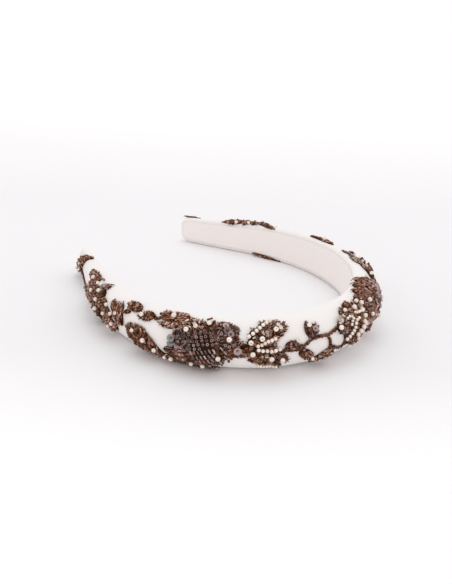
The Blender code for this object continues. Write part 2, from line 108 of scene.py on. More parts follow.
def lay_out_band():
    """Tables along the band. The bend is 1 + a s^2 + b s^4 at the share s of the way to the tip, so the
    direction is its integral, and the line is the integral of the direction."""
    way = np.linspace(0, 1, 401)
    turn = way + BEND_SQUARE * way ** 3 / 3 + BEND_FOURTH * way ** 5 / 5
    turn *= ARM_TURN / turn[-1]
    step = ARM_LENGTH * (way[1] - way[0])
    x = np.append(0, np.cumsum((np.cos(turn[1:]) + np.cos(turn[:-1])) / 2 * step))
    y = np.append(0, np.cumsum((np.sin(turn[1:]) + np.sin(turn[:-1])) / -2 * step))
    y -= (y.max() + y.min()) / 2

    def both_arms(values, sign):
        """One arm's values, mirrored onto the other with the sign."""
        return np.concatenate([sign * values[:0:-1], values])

    table = {"way": both_arms(way, -1), "x": both_arms(x, -1), "y": both_arms(y, 1)}
    table["turn"] = both_arms(turn, -1)
    reach = np.abs(table["way"])
    table["width"] = TIP_WIDTH + (CROWN_WIDTH - TIP_WIDTH) * (1 - reach ** WIDTH_POWER)
    thinning = 1 - reach ** THICKNESS_POWER
    table["thickness"] = TIP_THICKNESS + (CROWN_THICKNESS - TIP_THICKNESS) * thinning
    outer_x = table["x"] + np.sin(table["turn"]) * table["thickness"]
    outer_y = table["y"] + np.cos(table["turn"]) * table["thickness"]
    along = np.append(0, np.cumsum(np.hypot(np.diff(outer_x), np.diff(outer_y))))
    table["along"] = along - along[len(way) - 1]
    return table


BAND = lay_out_band()
BOX_LOW, BOX_HIGH = (np.array(corner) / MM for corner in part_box("padded_band"))
SHIFT_X = (BOX_LOW[0] + BOX_HIGH[0]) / 2
SHIFT_Y = BOX_LOW[1] - (BAND["y"] + np.cos(BAND["turn"]) * BAND["thickness"]).min()
# The half section's steps over the dome, round the rim and down the inner face.
DOME_STEPS, RIM_STEPS, INNER_STEPS = 49, 13, 12


def half_section():
    """Half of the section at every station, from the outermost line up over the rim and down the inner
    face: a superellipse, a flat edge, a quarter ellipse and a straight line, as distances out from the
    inner face and up from the middle."""
    width = BAND["width"][:, None]
    thickness = BAND["thickness"][:, None]
    angle = np.linspace(0, np.pi / 2, DOME_STEPS)
    out = EDGE_FLAT + (thickness - EDGE_FLAT) * np.abs(np.cos(angle)) ** (2 / DOME_POWER)
    up = width / 2 * np.sin(angle) ** (2 / DOME_POWER)
    corner = np.linspace(0, np.pi / 2, RIM_STEPS)
    round_out = EDGE_ROUND_OUT * (1 - np.sin(corner)) + 0 * width
    round_up = width / 2 - EDGE_ROUND_DOWN * (1 - np.cos(corner))
    down = np.linspace(0.3, INNER_REACH, INNER_STEPS)
    inner_up = width / 2 - EDGE_ROUND_DOWN - down
    return np.hstack([out, round_out, 0 * inner_up]), np.hstack([up, round_up, inner_up])


# Distances from the outermost line at which the half section is kept.
ACROSS_STEP = 0.2
ACROSS = np.arange(0, 28, ACROSS_STEP)


def cloth_table():
    """The half section at even steps of its own length, with the direction straight off the cloth, the
    length of the dome, and the length round the rim."""
    out, up = half_section()
    steps = np.hypot(np.diff(out, axis=1, prepend=out[:, :1]), np.diff(up, axis=1, prepend=up[:, :1]))
    length = np.cumsum(steps, axis=1)
    even = [[np.interp(ACROSS, row, value) for value in pair] for row, *pair in zip(length, out, up)]
    out, up = np.array(even).transpose(1, 0, 2)
    slope_out = np.gradient(out, axis=1)
    slope_up = np.gradient(up, axis=1)
    steep = np.hypot(slope_out, slope_up) + 1e-9
    rim = length[0, DOME_STEPS + RIM_STEPS - 1] - length[0, DOME_STEPS - 1]
    return out, up, slope_up / steep, -slope_out / steep, length[:, DOME_STEPS - 1], rim


OUT, UP, NORMAL_OUT, NORMAL_UP, GIRTH, RIM = cloth_table()


def relief(along, across):
    """Soft unevenness of the stuffed cover in millimetres: slow waves, and short puckers that grow
    towards the rims."""
    slow = 0.08 * np.sin(along / 8.3 + across / 4.9 + 1.1) * np.cos(across / 6.1 - along / 23.0)
    slow = slow + 0.04 * np.sin(along / 4.1 - across / 3.7)
    rim = np.clip((np.abs(across) - np.interp(along, BAND["along"], GIRTH) + 4.5) / 4.5, 0, 1)
    pucker = 0.05 * np.sin(along * 1.24 + 1.7 * np.sin(along / 7.7)) * rim ** 2
    return slow * np.clip(1.2 - rim, 0, 1) + pucker * (1 - np.clip(rim - 0.9, 0, 0.1) * 5)


def on_cloth(along, across, height):
    """World points in millimetres at a height above the uneven outer cloth, read from the table by
    two-way linear interpolation."""
    along, across, height = np.broadcast_arrays(*(np.asarray(v, float) for v in (along, across, height)))
    height = height + relief(along, across)
    last = len(BAND["along"]) - 1.001
    station = np.clip(np.interp(along, BAND["along"], np.arange(len(BAND["along"]))), 0, last)
    row = station.astype(int)
    part = station - row
    column = np.clip(np.abs(across) / ACROSS_STEP, 0, len(ACROSS) - 1.001)
    cell = column.astype(int)
    rest = column - cell

    def read(table):
        """The table between its four nearest places, by straight lines."""
        low = table[row, cell] * (1 - rest) + table[row, cell + 1] * rest
        high = table[row + 1, cell] * (1 - rest) + table[row + 1, cell + 1] * rest
        return low * (1 - part) + high * part

    def line(name):
        """A value along the band between its two nearest places, by a straight line."""
        return BAND[name][row] * (1 - part) + BAND[name][row + 1] * part

    side = np.where(across < 0, -1.0, 1.0)
    away = read(OUT) + height * read(NORMAL_OUT)
    lift = line("width") / 2 + side * (read(UP) + height * read(NORMAL_UP))
    turn = line("turn")
    x = line("x") + np.sin(turn) * away + SHIFT_X
    y = line("y") + np.cos(turn) * away + SHIFT_Y
    return np.stack([x, y, lift], axis=-1)


def unit(vectors):
    """Each vector at a length of one."""
    return vectors / (np.linalg.norm(vectors, axis=-1, keepdims=True) + 1e-12)


def square_to(axis, vectors):
    """What is left of each vector at right angles to its axis, at unit length."""
    return unit(vectors - (vectors * axis).sum(-1, keepdims=True) * axis)


def headings(path):
    """The direction of a line at each of its points, as an angle."""
    return np.arctan2(*np.gradient(path, axis=0).T[::-1])


def turns(count):
    """Even angles round a full turn."""
    return 2 * np.pi * np.arange(count) / count


def turn_to(angle, direction):
    """How far it is from an angle round to a direction the shorter way, in degrees."""
    return (direction - angle + 180) % 360 - 180


def compass(angle):
    """Unit steps along and across at each angle."""
    return np.stack([np.cos(angle), np.sin(angle)], axis=-1)


def cloth_frames(along, across, height, heading):
    """Places on the cloth with three directions each: along the heading, to its left, and off the cloth."""
    here = on_cloth(along, across, height)
    ahead = on_cloth(along + 0.4 * np.cos(heading), across + 0.4 * np.sin(heading), height)
    off = unit(on_cloth(along, across, np.asarray(height) + 1) - here)
    forward = square_to(off, ahead - here)
    return here, forward, np.cross(off, forward), off


def add_object(name, data):
    """An object for a mesh, a lamp or a camera, in the scene."""
    made = bpy.data.objects.new(name, data)
    bpy.context.scene.collection.objects.link(made)
    return made


class Work:
    """The parts of one piece, each a set of points in millimetres with faces, a look and a tint."""

    def __init__(self):
        self.points, self.faces, self.tints, self.flat = [], [], [], []
        self.count = 0

    def add(self, points, faces, look, tint=0.5, flat=None):
        """``faces`` is a list of arrays, one for each number of corners. Nothing reaches below the table,
        at height nought."""
        points = np.array(points, float).reshape(-1, 3)
        points[:, 2] = np.maximum(points[:, 2], 0.0)
        self.points.append(points)
        self.tints.append(np.broadcast_to(np.asarray(tint, float), (len(points),)))
        flat = np.zeros((len(points), 2)) if flat is None else np.asarray(flat, float).reshape(-1, 2)
        self.flat.append(flat)
        for group in faces:
            self.faces.append((np.asarray(group, int) + self.count, look))
        self.count += len(points)

    def add_copies(self, points, faces, look, tint, flat=None):
        """Many copies of one shape: ``points`` has a row for each copy, and ``tint`` a value for each. A
        copy that would reach below the table sits on it."""
        lowest = points[..., 2].min(axis=1)
        points = points + np.maximum(TABLE_GAP - lowest, 0.0)[:, None, None] * (0, 0, 1)
        copies, corners = points.shape[:2]
        start = (np.arange(copies) * corners)[:, None, None]
        groups = [(start + group[None]).reshape(-1, group.shape[1]) for group in faces]
        self.add(points, groups, look, np.repeat(tint, corners), flat)

    def make(self, name, looks):
        """One mesh from all the parts. ``looks`` maps each look to its material."""
        used = [look for look in looks if any(look == mine for _, mine in self.faces)]
        corners = np.concatenate([group.ravel() for group, _ in self.faces])
        sizes = np.concatenate([np.full(len(group), group.shape[1]) for group, _ in self.faces])
        slots = np.concatenate([np.full(len(group), used.index(look)) for group, look in self.faces])
        points = np.concatenate(self.points)
        mesh = bpy.data.meshes.new(name)
        mesh.vertices.add(len(points))
        mesh.vertices.foreach_set("co", (points * MM).ravel())
        mesh.loops.add(len(corners))
        mesh.loops.foreach_set("vertex_index", corners)
        mesh.polygons.add(len(sizes))
        mesh.polygons.foreach_set("loop_start", np.cumsum(sizes) - sizes)
        mesh.polygons.foreach_set("loop_total", sizes)
        mesh.polygons.foreach_set("material_index", slots)
        mesh.polygons.foreach_set("use_smooth", np.ones(len(sizes), bool))
        mesh.update(calc_edges=True)
        tints = mesh.attributes.new("tint", "FLOAT", "POINT")
        tints.data.foreach_set("value", np.concatenate(self.tints))
        flat = np.concatenate(self.flat)[corners]
        mesh.uv_layers.new(name="cloth").data.foreach_set("uv", flat.ravel())
        for look in used:
            mesh.materials.append(looks[look])
        return add_object(name, mesh)


def wrap(rows, columns, closed=False):
    """Faces of a tube of ``rows`` rings with ``columns`` points each: closed into a ring, or capped."""
    here = np.arange(columns)
    after = np.roll(here, -1)
    low = (np.arange(rows if closed else rows - 1) * columns)[:, None]
    high = (low + columns) % (rows * columns)
    quads = np.stack([low + here, low + after, high + after, high + here], axis=-1).reshape(-1, 4)
    if closed:
        return [quads]
    last = (rows - 1) * columns
    return [quads, here[None, ::-1], last + here[None]]


def turned(loop_x, loop_r, sides):
    """A closed outline of distances along and away from an axis, turned about that axis."""
    spin = turns(sides)
    points = np.stack([loop_x[None, :] + 0 * spin[:, None], np.cos(spin)[:, None] * loop_r,
                       np.sin(spin)[:, None] * loop_r], axis=-1)
    return points.reshape(-1, 3), wrap(sides, len(loop_x), closed=True)


def bead(length, radius, hole, sides=10, steps=6, square=0.75):
    """A bead about the x axis: a rounded square, from the hole to the outside, turned about the axis."""
    angle = 2 * np.pi * (np.arange(steps) + 0.5) / steps

    def rounded(value):
        """A share of the way round, pushed out towards a square's corner."""
        return np.sign(value) * np.abs(value) ** square

    loop_x = -length / 2 * rounded(np.cos(angle))
    loop_r = (radius + hole) / 2 + (radius - hole) / 2 * rounded(np.sin(angle))
    return turned(loop_x, loop_r, sides)


def pearl_shape(radius, sides=14):
    """A pearl about the x axis: a circle's arc from the rim of its hole to the other rim, turned, with
    the hole's wall closing the outline."""
    start = np.arcsin(PEARL_HOLE / radius)
    angle = np.linspace(start, np.pi - start, 9)
    loop_x = np.concatenate([-radius * np.cos(angle), [radius * 0.5, -radius * 0.5]])
    loop_r = np.concatenate([radius * np.sin(angle), [PEARL_HOLE * 0.8, PEARL_HOLE * 0.8]])
    return turned(loop_x, loop_r, sides)


def sequin_shape(radius, depth):
    """A cupped sequin about the x axis: a thin bowl with a hole, turned."""
    loop_r = np.array([0.22, radius * 0.55, radius, radius * 0.97, radius * 0.5, 0.22])
    loop_x = np.array([-0.1, 0.02, depth, depth + 0.1, 0.16, 0.04])
    return turned(loop_x, loop_r, 14)


def set_at(points, here, axis, side, third):
    """A shape's points at each place, with its own three axes along the three directions there."""
    return (here[:, None] + points[..., :1] * axis[:, None] + points[..., 1:2] * side[:, None]
            + points[..., 2:] * third[:, None])


def scatter(work, shape, frames, look, upright=False, lean=6.0):
    """Copies of a shape at frames on the cloth, each leaning a little its own way. The shape's x axis
    follows the heading, or stands off the cloth when upright."""
    here, forward, left, off = frames
    axis, side = (off, forward) if upright else (forward, left)
    lean = np.radians(lean) * RANDOM.standard_normal((2, len(here), 1))
    axis = unit(axis + lean[0] * side + lean[1] * np.cross(axis, side))
    side = square_to(axis, side)
    points, faces = shape
    placed = set_at(points, here, axis, side, np.cross(axis, side))
    work.add_copies(placed, faces, look, RANDOM.random(len(here)))


# Tones of the wire and glass: darkest and lightest. The tables give each tone by its first letter.
TONES = {
    "umber": ((0.040, 0.011, 0.004), (0.320, 0.126, 0.064)),
    "bronze": ((0.105, 0.037, 0.018), (0.590, 0.300, 0.175)),
    "rose": ((0.190, 0.082, 0.062), (0.730, 0.480, 0.400)),
    "smoke": ((0.048, 0.026, 0.021), (0.420, 0.320, 0.290)),
    "lilac": ((0.140, 0.088, 0.085), (0.520, 0.400, 0.390)),
    # The pale tone paints glints: wires toned light to stand in for highlights.
    "pale": ((0.340, 0.180, 0.125), (0.920, 0.730, 0.600)),
    "teal": ((0.150, 0.165, 0.160), (0.400, 0.430, 0.420)),
    "cream": ((0.480, 0.390, 0.320), (0.820, 0.730, 0.640)),
}

# Leaves: where the stalk and the tip lie, the width, the stitching and its tones, how far the middle bows
# out, and how much higher the stalk's end stands. The last two are nought where they are left out.
LEAF_COLUMNS = ("name", "form", "along", "across", "tip_along", "tip_across", "width", "stitch", "tones",
                "bow", "lift")
LEAVES = (
    ("tip_leaf", "leaf", 211.4, -2.6, 187.4, 11.6, 6.4, "chevron", "uurb", 0.8, 1.2),
    ("edge_leaf", "pod", 156.4, 10.2, 172.0, 8.6, 5.6, "chevron", "ubul"),
    ("side_leaf", "petal", 151.6, 8.4, 143.8, 12.6, 5.2, "strand", "lrbu"),
    ("lower_leaf", "pod", 140.4, -4.2, 125.8, -3.0, 7.0, "chevron", "uubr"),
    ("upright_leaf", "petal", 121.6, 0.4, 127.6, 9.0, 8.2, "strand", "uubr"),
    ("round_leaf", "pod", 112.4, 11.4, 122.2, 11.1, 5.6, "chevron", "urbu"),
    ("small_leaf", "leaf", 102.8, 10.8, 113.0, 8.2, 5.2, "chevron", "buu"),
    ("large_leaf", "broad", 94.6, -8.6, 118.6, 1.6, 12.4, "chevron", "uuub", 0.3),
    ("twin_leaf_upper", "leaf", 82.4, 14.0, 101.6, 12.6, 5.2, "strand", "rubu", 0.4),
    ("twin_leaf_lower", "leaf", 88.9, 9.3, 100.0, 8.4, 4.0, "strand", "urbu"),
    ("tulip_leaf", "pod", 38.9, 3.2, 32.4, 3.4, 4.8, "chevron", "usur"),
    ("stem_leaf", "pod", 31.8, -0.2, 24.8, -4.4, 5.6, "chevron", "ubur"),
    ("slim_leaf", "leaf", 26.3, 5.2, 26.8, 13.2, 4.6, "chevron", "uus"),
    ("sequin_leaf", "petal", 24.8, 5.2, 22.6, 11.0, 5.8, "strand", "rlu"),
    ("hem_leaf", "leaf", 12.8, -2.2, 25.6, -7.2, 8.8, "chevron", "ubuc", -3.0, 0.4),
    ("low_crown_leaf", "pod", -17.4, -4.8, -27.0, -7.4, 5.0, "chevron", "buu"),
    ("top_leaf", "pod", -64.0, 15.2, -75.0, 17.2, 5.0, "strand", "crbuu"),
    ("far_leaf_1", "leaf", -74.4, 4.9, -67.4, 9.0, 4.4, "strand", "urb"),
    ("far_leaf_2", "leaf", -81.8, 3.0, -72.6, -5.0, 5.0, "chevron", "ubu", 0.6),
    ("far_leaf_3", "petal", -88.0, 8.2, -83.4, 13.2, 4.6, "strand", "rlu"),
    ("far_leaf_4", "leaf", -94.8, 1.4, -87.0, -8.0, 5.4, "chevron", "ubur", 0.6),
    ("far_top_leaf", "leaf", -98.0, 16.9, -119.4, 16.8, 3.8, "strand", "ubur", 0.4),
    ("far_leaf_5", "pod", -108.6, 1.2, -101.4, -6.4, 5.0, "chevron", "ubr"),
    ("far_tip_leaf", "leaf", -190.6, 0.6, -207.0, -3.0, 4.2, "chevron", "uur", 0.6),
)

# Sprigs: smaller leaves sewn as part of a motif, where it runs on towards its neighbours. The columns are a
# leaf's from its form on.
SPRIGS = {
    "tip_leaf": (("pod", 212.4, 0.4, 203.0, -5.4, 5.2, "chevron", "urbu"),),
    "edge_leaf": (("pod", 153.6, 6.0, 166.4, 4.6, 5.0, "chevron", "ubr"),),
    "side_flower": (
        ("pod", 170.2, -1.8, 164.6, -5.2, 3.8, "chevron", "rulu", 0, 0.5),
        ("leaf", 142.4, 2.6, 130.6, 0.8, 6.0, "chevron", "ubur"),
        ("pod", 152.0, -6.6, 144.0, -9.2, 4.6, "chevron", "suu"),
        ("pod", 140.0, -5.6, 131.0, -8.0, 4.0, "chevron", "sub")),
    "upright_leaf": (
        ("petal", 123.6, -0.4, 132.6, 8.4, 5.8, "strand", "ubur"),
        ("pod", 122.4, 6.6, 118.0, 8.2, 2.2, "chevron", "ub")),
    "large_leaf": (("leaf", 114.6, -7.2, 98.6, -11.4, 4.0, "chevron", "lcru"),),
    "twin_leaf_lower": (("pod", 98.6, 10.4, 86.2, 12.2, 4.8, "strand", "urub"),),
    "main_flower": (
        ("pod", 89.2, 10.0, 79.4, 13.2, 5.6, "chevron", "crbu"),
        ("leaf", 95.6, -3.0, 83.6, -2.2, 5.6, "strand", "rulu"),
        ("pod", 98.4, -8.2, 87.0, -9.6, 5.6, "chevron", "uub"),
        ("pod", 94.0, -11.2, 68.6, -11.6, 5.2, "chevron", "usb"),
        ("pod", 68.4, 6.4, 60.2, 5.0, 10.4, "chevron", "uslu"),
        ("pod", 71.4, 11.8, 60.4, 9.2, 8.4, "chevron", "uslu"),
        ("leaf", 64.0, 2.4, 53.0, 1.6, 7.6, "strand", "uur")),
    "pearl_tulip": (
        ("pod", 50.4, 9.0, 40.2, 14.0, 7.2, "strand", "ubs"),
        ("pod", 55.6, -2.4, 41.4, -4.2, 4.2, "chevron", "urb")),
    "crown_bloom": (
        ("pod", -23.0, 10.6, -12.4, 14.0, 7.8, "strand", "ubur"),
        ("pod", -22.0, 3.4, -12.6, 7.0, 8.4, "chevron", "ubu")),
    "top_leaf": (
        ("leaf", -64.6, 15.6, -51.0, 12.2, 2.6, "strand", "urb"),
        ("pod", -55.4, 13.0, -47.6, 10.6, 3.2, "chevron", "uru")),
    "far_leaf_1": (
        ("pod", -77.4, 10.4, -71.4, 9.8, 2.8, "chevron", "su", 0, 0.9),
        ("pod", -69.6, 9.6, -60.6, 8.4, 3.4, "chevron", "ubr", 0, 0.9)),
    "far_cluster": (
        ("leaf", -140.6, -17.2, -162.0, -17.4, 2.6, "chevron", "uub"),
        ("leaf", -170.4, 13.6, -185.0, 13.4, 3.6, "chevron", "urbu", 0, 0.2),
        ("leaf", -158.0, 14.4, -146.6, 17.2, 2.6, "chevron", "urb")),
}

# Vines: the points that each stitched stem passes through.
VINES = {
    "tip_stem": ((197.0, -4.0), (190.1, -3.2), (181.8, -2.6), (171.2, -0.4)),
    "vine_near": ((31.4, 1.2), (28.6, 2.9), (25.6, 4.6), (21.4, 5.1), (16.8, 4.9), (11.8, 6.0)),
    "vine_branch": ((16.8, 4.7), (15.9, 2.8), (15.3, 0.8), (15.2, -1.4), (16.4, -3.2)),
    "top_stem": ((-74.0, 17.0), (-78.0, 16.6), (-81.6, 16.9), (-84.8, 17.8)),
    "crown_stem": ((-50.8, 8.4), (-57.0, 10.2), (-64.0, 9.6)),
    "vine_far": (
        (-51.6, 2.6), (-64.0, 1.6), (-75.0, 3.6), (-86.0, 6.6), (-97.0, 4.0), (-108.0, 3.2), (-117.0, 3.4)),
    "far_tip_stem": (
        (-184.6, 1.8), (-190.0, 2.6), (-196.0, 4.4), (-202.0, 7.2), (-207.0, 8.8), (-211.4, 8.4)),
}

# Flowers: the centre, the radius between the petals, the bare middle's radius, and then for each petal its
# direction in degrees, its reach, half of its spread, its stitching and its tones.
FLOWERS = {
    "side_flower": (149.6, 2.0, 5.4, 0.0, (
        (-4, 16.4, 30, "chevron", "uubl"), (46, 8.2, 26, "chevron", "ub"), (88, 5.8, 26, "chevron", "ul"),
        (136, 10.4, 24, "chevron", "uru"), (168, 13.4, 22, "chevron", "ubu"),
        (212, 7.0, 24, "chevron", "ub"), (262, 8.4, 34, "chevron", "suu"),
        (318, 10.6, 34, "chevron", "urs"))),
    "main_flower": (76.4, 3.0, 9.0, 5.4, (
        (8, 15.4, 24, "chevron", "sulu"), (42, 9.8, 24, "chevron", "lusu"),
        (78, 11.4, 24, "chevron", "suru"), (118, 12.6, 24, "chevron", "usu"),
        (150, 15.2, 26, "strand", "usru"), (188, 17.0, 22, "strand", "uur"),
        (222, 13.0, 22, "chevron", "uus"), (252, 12.6, 22, "chevron", "uus"),
        (286, 14.2, 22, "chevron", "usu"), (318, 18.2, 24, "strand", "rulu"))),
    "pearl_tulip": (49.0, 4.4, 6.6, 0.0, (
        (6, 8.0, 34, "chevron", "ub"), (52, 9.2, 30, "strand", "uus"), (98, 11.6, 30, "strand", "ubs"),
        (142, 14.6, 18, "strand", "bur"), (216, 14.4, 17, "strand", "urb"),
        (236, 14.4, 17, "chevron", "uub"), (270, 9.6, 26, "chevron", "uub"),
        (324, 8.8, 30, "chevron", "ub"))),
    "crown_flower": (-2.6, 5.4, 6.8, 0.0, (
        (4, 13.4, 26, "chevron", "sub"), (46, 11.2, 26, "chevron", "urs"), (88, 11.0, 26, "chevron", "buu"),
        (134, 12.0, 24, "chevron", "uru"), (176, 9.2, 24, "chevron", "ub"), (218, 9.6, 24, "strand", "buu"),
        (243, 13.2, 20, "strand", "ub"), (268, 12.2, 22, "chevron", "uub"),
        (295, 11.8, 22, "chevron", "uub"), (328, 10.6, 24, "chevron", "usu"))),
    "crown_bloom": (-33.8, 7.8, 8.0, 0.0, (
        (16, 17.4, 18, "strand", "urbr"), (34, 18.6, 15, "strand", "urbu"),
        (62, 14.6, 20, "strand", "ubru"), (104, 13.6, 20, "strand", "urr"),
        (132, 11.8, 22, "strand", "urub"), (160, 11.4, 20, "strand", "bus"),
        (184, 13.4, 24, "strand", "bur"), (220, 13.2, 26, "strand", "urbu"),
        (262, 11.4, 24, "strand", "ulb"), (300, 12.6, 24, "strand", "ulrb"),
        (336, 18.6, 22, "strand", "lbr"), (357, 17.6, 20, "strand", "ulr"))),
    "far_flower": (-131.4, -0.6, 6.6, 4.0, (
        (0, 12.0, 28, "chevron", "us"), (45, 9.6, 28, "chevron", "ruu"), (90, 7.8, 28, "chevron", "ub"),
        (135, 10.8, 28, "chevron", "uru"), (180, 12.0, 28, "chevron", "su"),
        (225, 12.6, 28, "chevron", "ur"), (270, 11.0, 28, "chevron", "ub"),
        (315, 12.6, 28, "chevron", "bur"))),
    "far_cluster": (-166.4, 2.0, 6.4, 0.0, (
        (20, 15.8, 26, "chevron", "uub"), (48, 17.2, 20, "strand", "ub"), (76, 14.2, 20, "chevron", "uur"),
        (104, 14.4, 20, "chevron", "ub"), (130, 16.0, 18, "chevron", "uur"),
        (152, 17.4, 18, "strand", "ub"), (186, 15.6, 26, "chevron", "urs"), (232, 9.8, 26, "chevron", "ub"),
        (280, 9.6, 26, "chevron", "us"), (326, 14.0, 28, "strand", "urb"))),
}

# The raised middles: along, across, radius and swell.
HEARTS = {"main_flower": (75.6, 1.6, 6.6, 1.4), "crown_bloom": (-33.8, 7.2, 5.0, 0.5),
          "far_flower": (-131.4, -0.6, 4.4, 0.3)}

# Main pearls: place, diameter, and what they are sewn to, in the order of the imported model's nodes.
PEARLS = (
    (146.8, 7.6, 2.2, "side_flower"), (146.0, 3.8, 2.1, "side_flower"), (109.6, 9.0, 2.3, "small_leaf"),
    (112.8, 1.3, 1.9, "large_leaf"), (105.9, -1.1, 2.4, "large_leaf"), (100.0, -4.3, 2.2, "large_leaf"),
    (93.0, 12.8, 2.4, "twin_leaf_upper"), (84.6, 8.4, 2.4, "main_flower"), (64.5, 6.7, 2.5, "main_flower"),
    (68.9, -1.4, 2.4, "main_flower"), (50.0, 7.2, 2.5, "pearl_tulip"), (43.4, 10.5, 2.4, "pearl_tulip"),
    (54.0, 1.3, 2.4, "pearl_tulip"), (45.6, -1.1, 2.4, "pearl_tulip"), (9.8, 6.3, 2.4, "crown_flower"),
    (-4.1, 11.3, 2.4, "crown_flower"), (-174.8, 14.6, 2.2, "far_cluster"),
)

# Smaller pearls by what they are sewn to: along, across and diameter.
SMALL_PEARLS = {
    "tip_leaf": ((208.8, -3.2, 2.1), (199.6, 2.4, 1.5)),
    "edge_leaf": ((161.2, 8.9, 2.2),),
    "side_flower": (
        (153.0, 9.2, 1.9), (149.4, 9.8, 1.7), (155.2, 4.8, 2.1), (134.8, 5.4, 1.9), (145.8, -0.4, 2.1),
        (137.2, 0.4, 2.0), (130.0, 3.0, 1.9), (158.0, -2.2, 1.8)),
    "lower_leaf": ((133.4, -4.6, 1.8), (128.9, -1.5, 2.0)),
    "upright_leaf": ((126.4, 4.4, 1.8),),
    "main_flower": (
        (91.6, -6.8, 2.2), (80.6, 10.3, 2.2), (74.5, 12.3, 2.3), (81.4, -6.6, 2.0), (76.1, -7.0, 2.1),
        (95.5, -7.6, 1.7)),
    "pearl_tulip": ((55.0, 5.8, 2.4), (40.6, -2.0, 2.3), (41.0, 11.0, 1.9), (41.8, 12.4, 1.8)),
    "tulip_leaf": ((33.2, 5.4, 1.8),),
    "stem_leaf": ((25.2, -4.4, 1.7),),
    "slim_leaf": ((26.5, 10.6, 2.2),),
    "crown_flower": (
        (2.8, 12.0, 1.9), (-8.8, 13.0, 2.1), (-2.0, 0.0, 2.2), (-3.0, -2.2, 2.0), (2.6, -4.4, 1.7)),
    "crown_bloom": (
        (-19.6, 9.8, 2.4), (-11.6, 11.2, 2.3), (-17.5, 4.0, 2.1), (-44.6, 1.6, 2.0), (-29.0, -1.6, 2.0),
        (-40.6, 15.6, 2.0)),
    "far_flower": ((-122.0, 3.0, 2.2), (-140.6, -1.8, 2.2), (-136.0, -6.6, 2.0)),
    "far_cluster": ((-160.0, 8.6, 2.0), (-156.4, -1.6, 2.2), (-172.0, -3.0, 2.0), (-166.4, 15.0, 1.8)),
    "far_top_leaf": ((-106.4, 17.2, 2.0),),
    "top_leaf": (
        (-49.8, 12.6, 2.0), (-75.6, 15.4, 1.4), (-70.6, 14.9, 1.6), (-66.4, 14.2, 1.5), (-60.6, 13.2, 1.5)),
    "far_tip_stem": ((-206.6, 7.6, 1.8),),
}

# Strings of small pearls: the pearls' diameter, and the points that each string passes through.
PEARL_STRINGS = {
    "pearl_tulip": (
        (1.85, ((55.8, 8.2), (54.1, 9.2), (52.3, 10.4), (49.2, 12.5), (47.4, 13.4), (45.4, 14.5))),
        (1.75, ((51.8, 4.5), (49.7, 5.0), (48.0, 5.9), (46.3, 6.3), (44.0, 7.0))),
        (1.85, ((51.5, 2.9), (49.7, 2.5), (47.7, 2.4), (45.4, 2.1), (43.7, 2.4), (41.9, 2.6))),
        (1.45, ((51.2, -4.9), (48.9, -5.4), (47.1, -5.5), (44.8, -5.6), (42.8, -5.9))),
    ),
    "crown_flower": (
        (1.75, ((-4.2, 6.6), (-2.2, 6.2), (-1.0, 4.8), (0.0, 3.4), (1.8, 2.4), (3.8, 1.4), (5.8, 0.2))),
        (2.3, ((-9.2, 8.6), (-9.2, 6.6), (-8.8, 4.8), (-7.5, 3.2), (-6.5, 1.8), (-4.5, 0.8))),
        (1.5, ((-3.2, 9.4), (-5.2, 8.8), (-7.3, 8.7))),
        (1.5, ((3.4, 8.6), (2.6, 9.0), (1.2, 8.8), (-0.4, 8.2), (-0.2, 7.2), (0.9, 6.6), (2.0, 5.6))),
    ),
    "far_cluster": ((1.5, ((-156.0, 4.6), (-161.0, 6.6), (-166.6, 7.0), (-172.0, 5.6))),),
}

# Bugle beads by what they are sewn to: from and to, as along and across, and the tone.
BUGLES = {
    "pearl_tulip": (
        (54.3, 7.4, 52.8, 8.0, "c"), (48.6, -0.2, 46.8, -0.5, "c"), (50.3, 0.2, 49.2, -0.1, "c")),
    "main_flower": (
        (76.2, 14.0, 73.7, 15.4, "u"), (86.4, 11.6, 84.9, 12.6, "c"), (83.0, 12.9, 81.2, 13.1, "c"),
        (79.6, 12.9, 79.2, 11.4, "c"), (84.4, 9.9, 82.6, 9.5, "c"), (82.4, 11.2, 81.0, 11.9, "c"),
        (70.9, 2.6, 70.2, 1.0, "r")),
    "twin_leaf_upper": tuple((99.4 - 0.95 * n, 13.3, 98.5 - 0.95 * n, 15.1, "r") for n in (0, 2, 9))
        + tuple((90.2 - 0.95 * n, 13.9, 89.1 - 0.95 * n, 15.6, "r") for n in (0, 1, 2, 3)),
    "twin_leaf_lower": (
        (96.8, 8.0, 95.9, 9.6, "r"), (95.7, 8.0, 94.8, 9.7, "c"), (94.6, 8.1, 93.7, 9.8, "r"),
        (92.4, 8.4, 91.7, 9.9, "r")),
    "crown_flower": (
        (7.6, 10.9, 6.2, 9.9, "c"), (9.2, 9.7, 8.0, 8.6, "c"), (9.8, 8.3, 8.6, 7.5, "c"),
        (5.6, 10.9, 4.8, 9.5, "c"), (-13.2, 3.2, -14.6, 1.4, "r"), (-11.6, 0.6, -12.8, -1.2, "r")),
    "lower_leaf": ((134.2, -5.4, 132.6, -4.9, "c"),),
    "hem_leaf": ((20.6, -7.6, 18.8, -7.0, "c"), (18.4, -6.7, 16.8, -5.9, "r")),
}

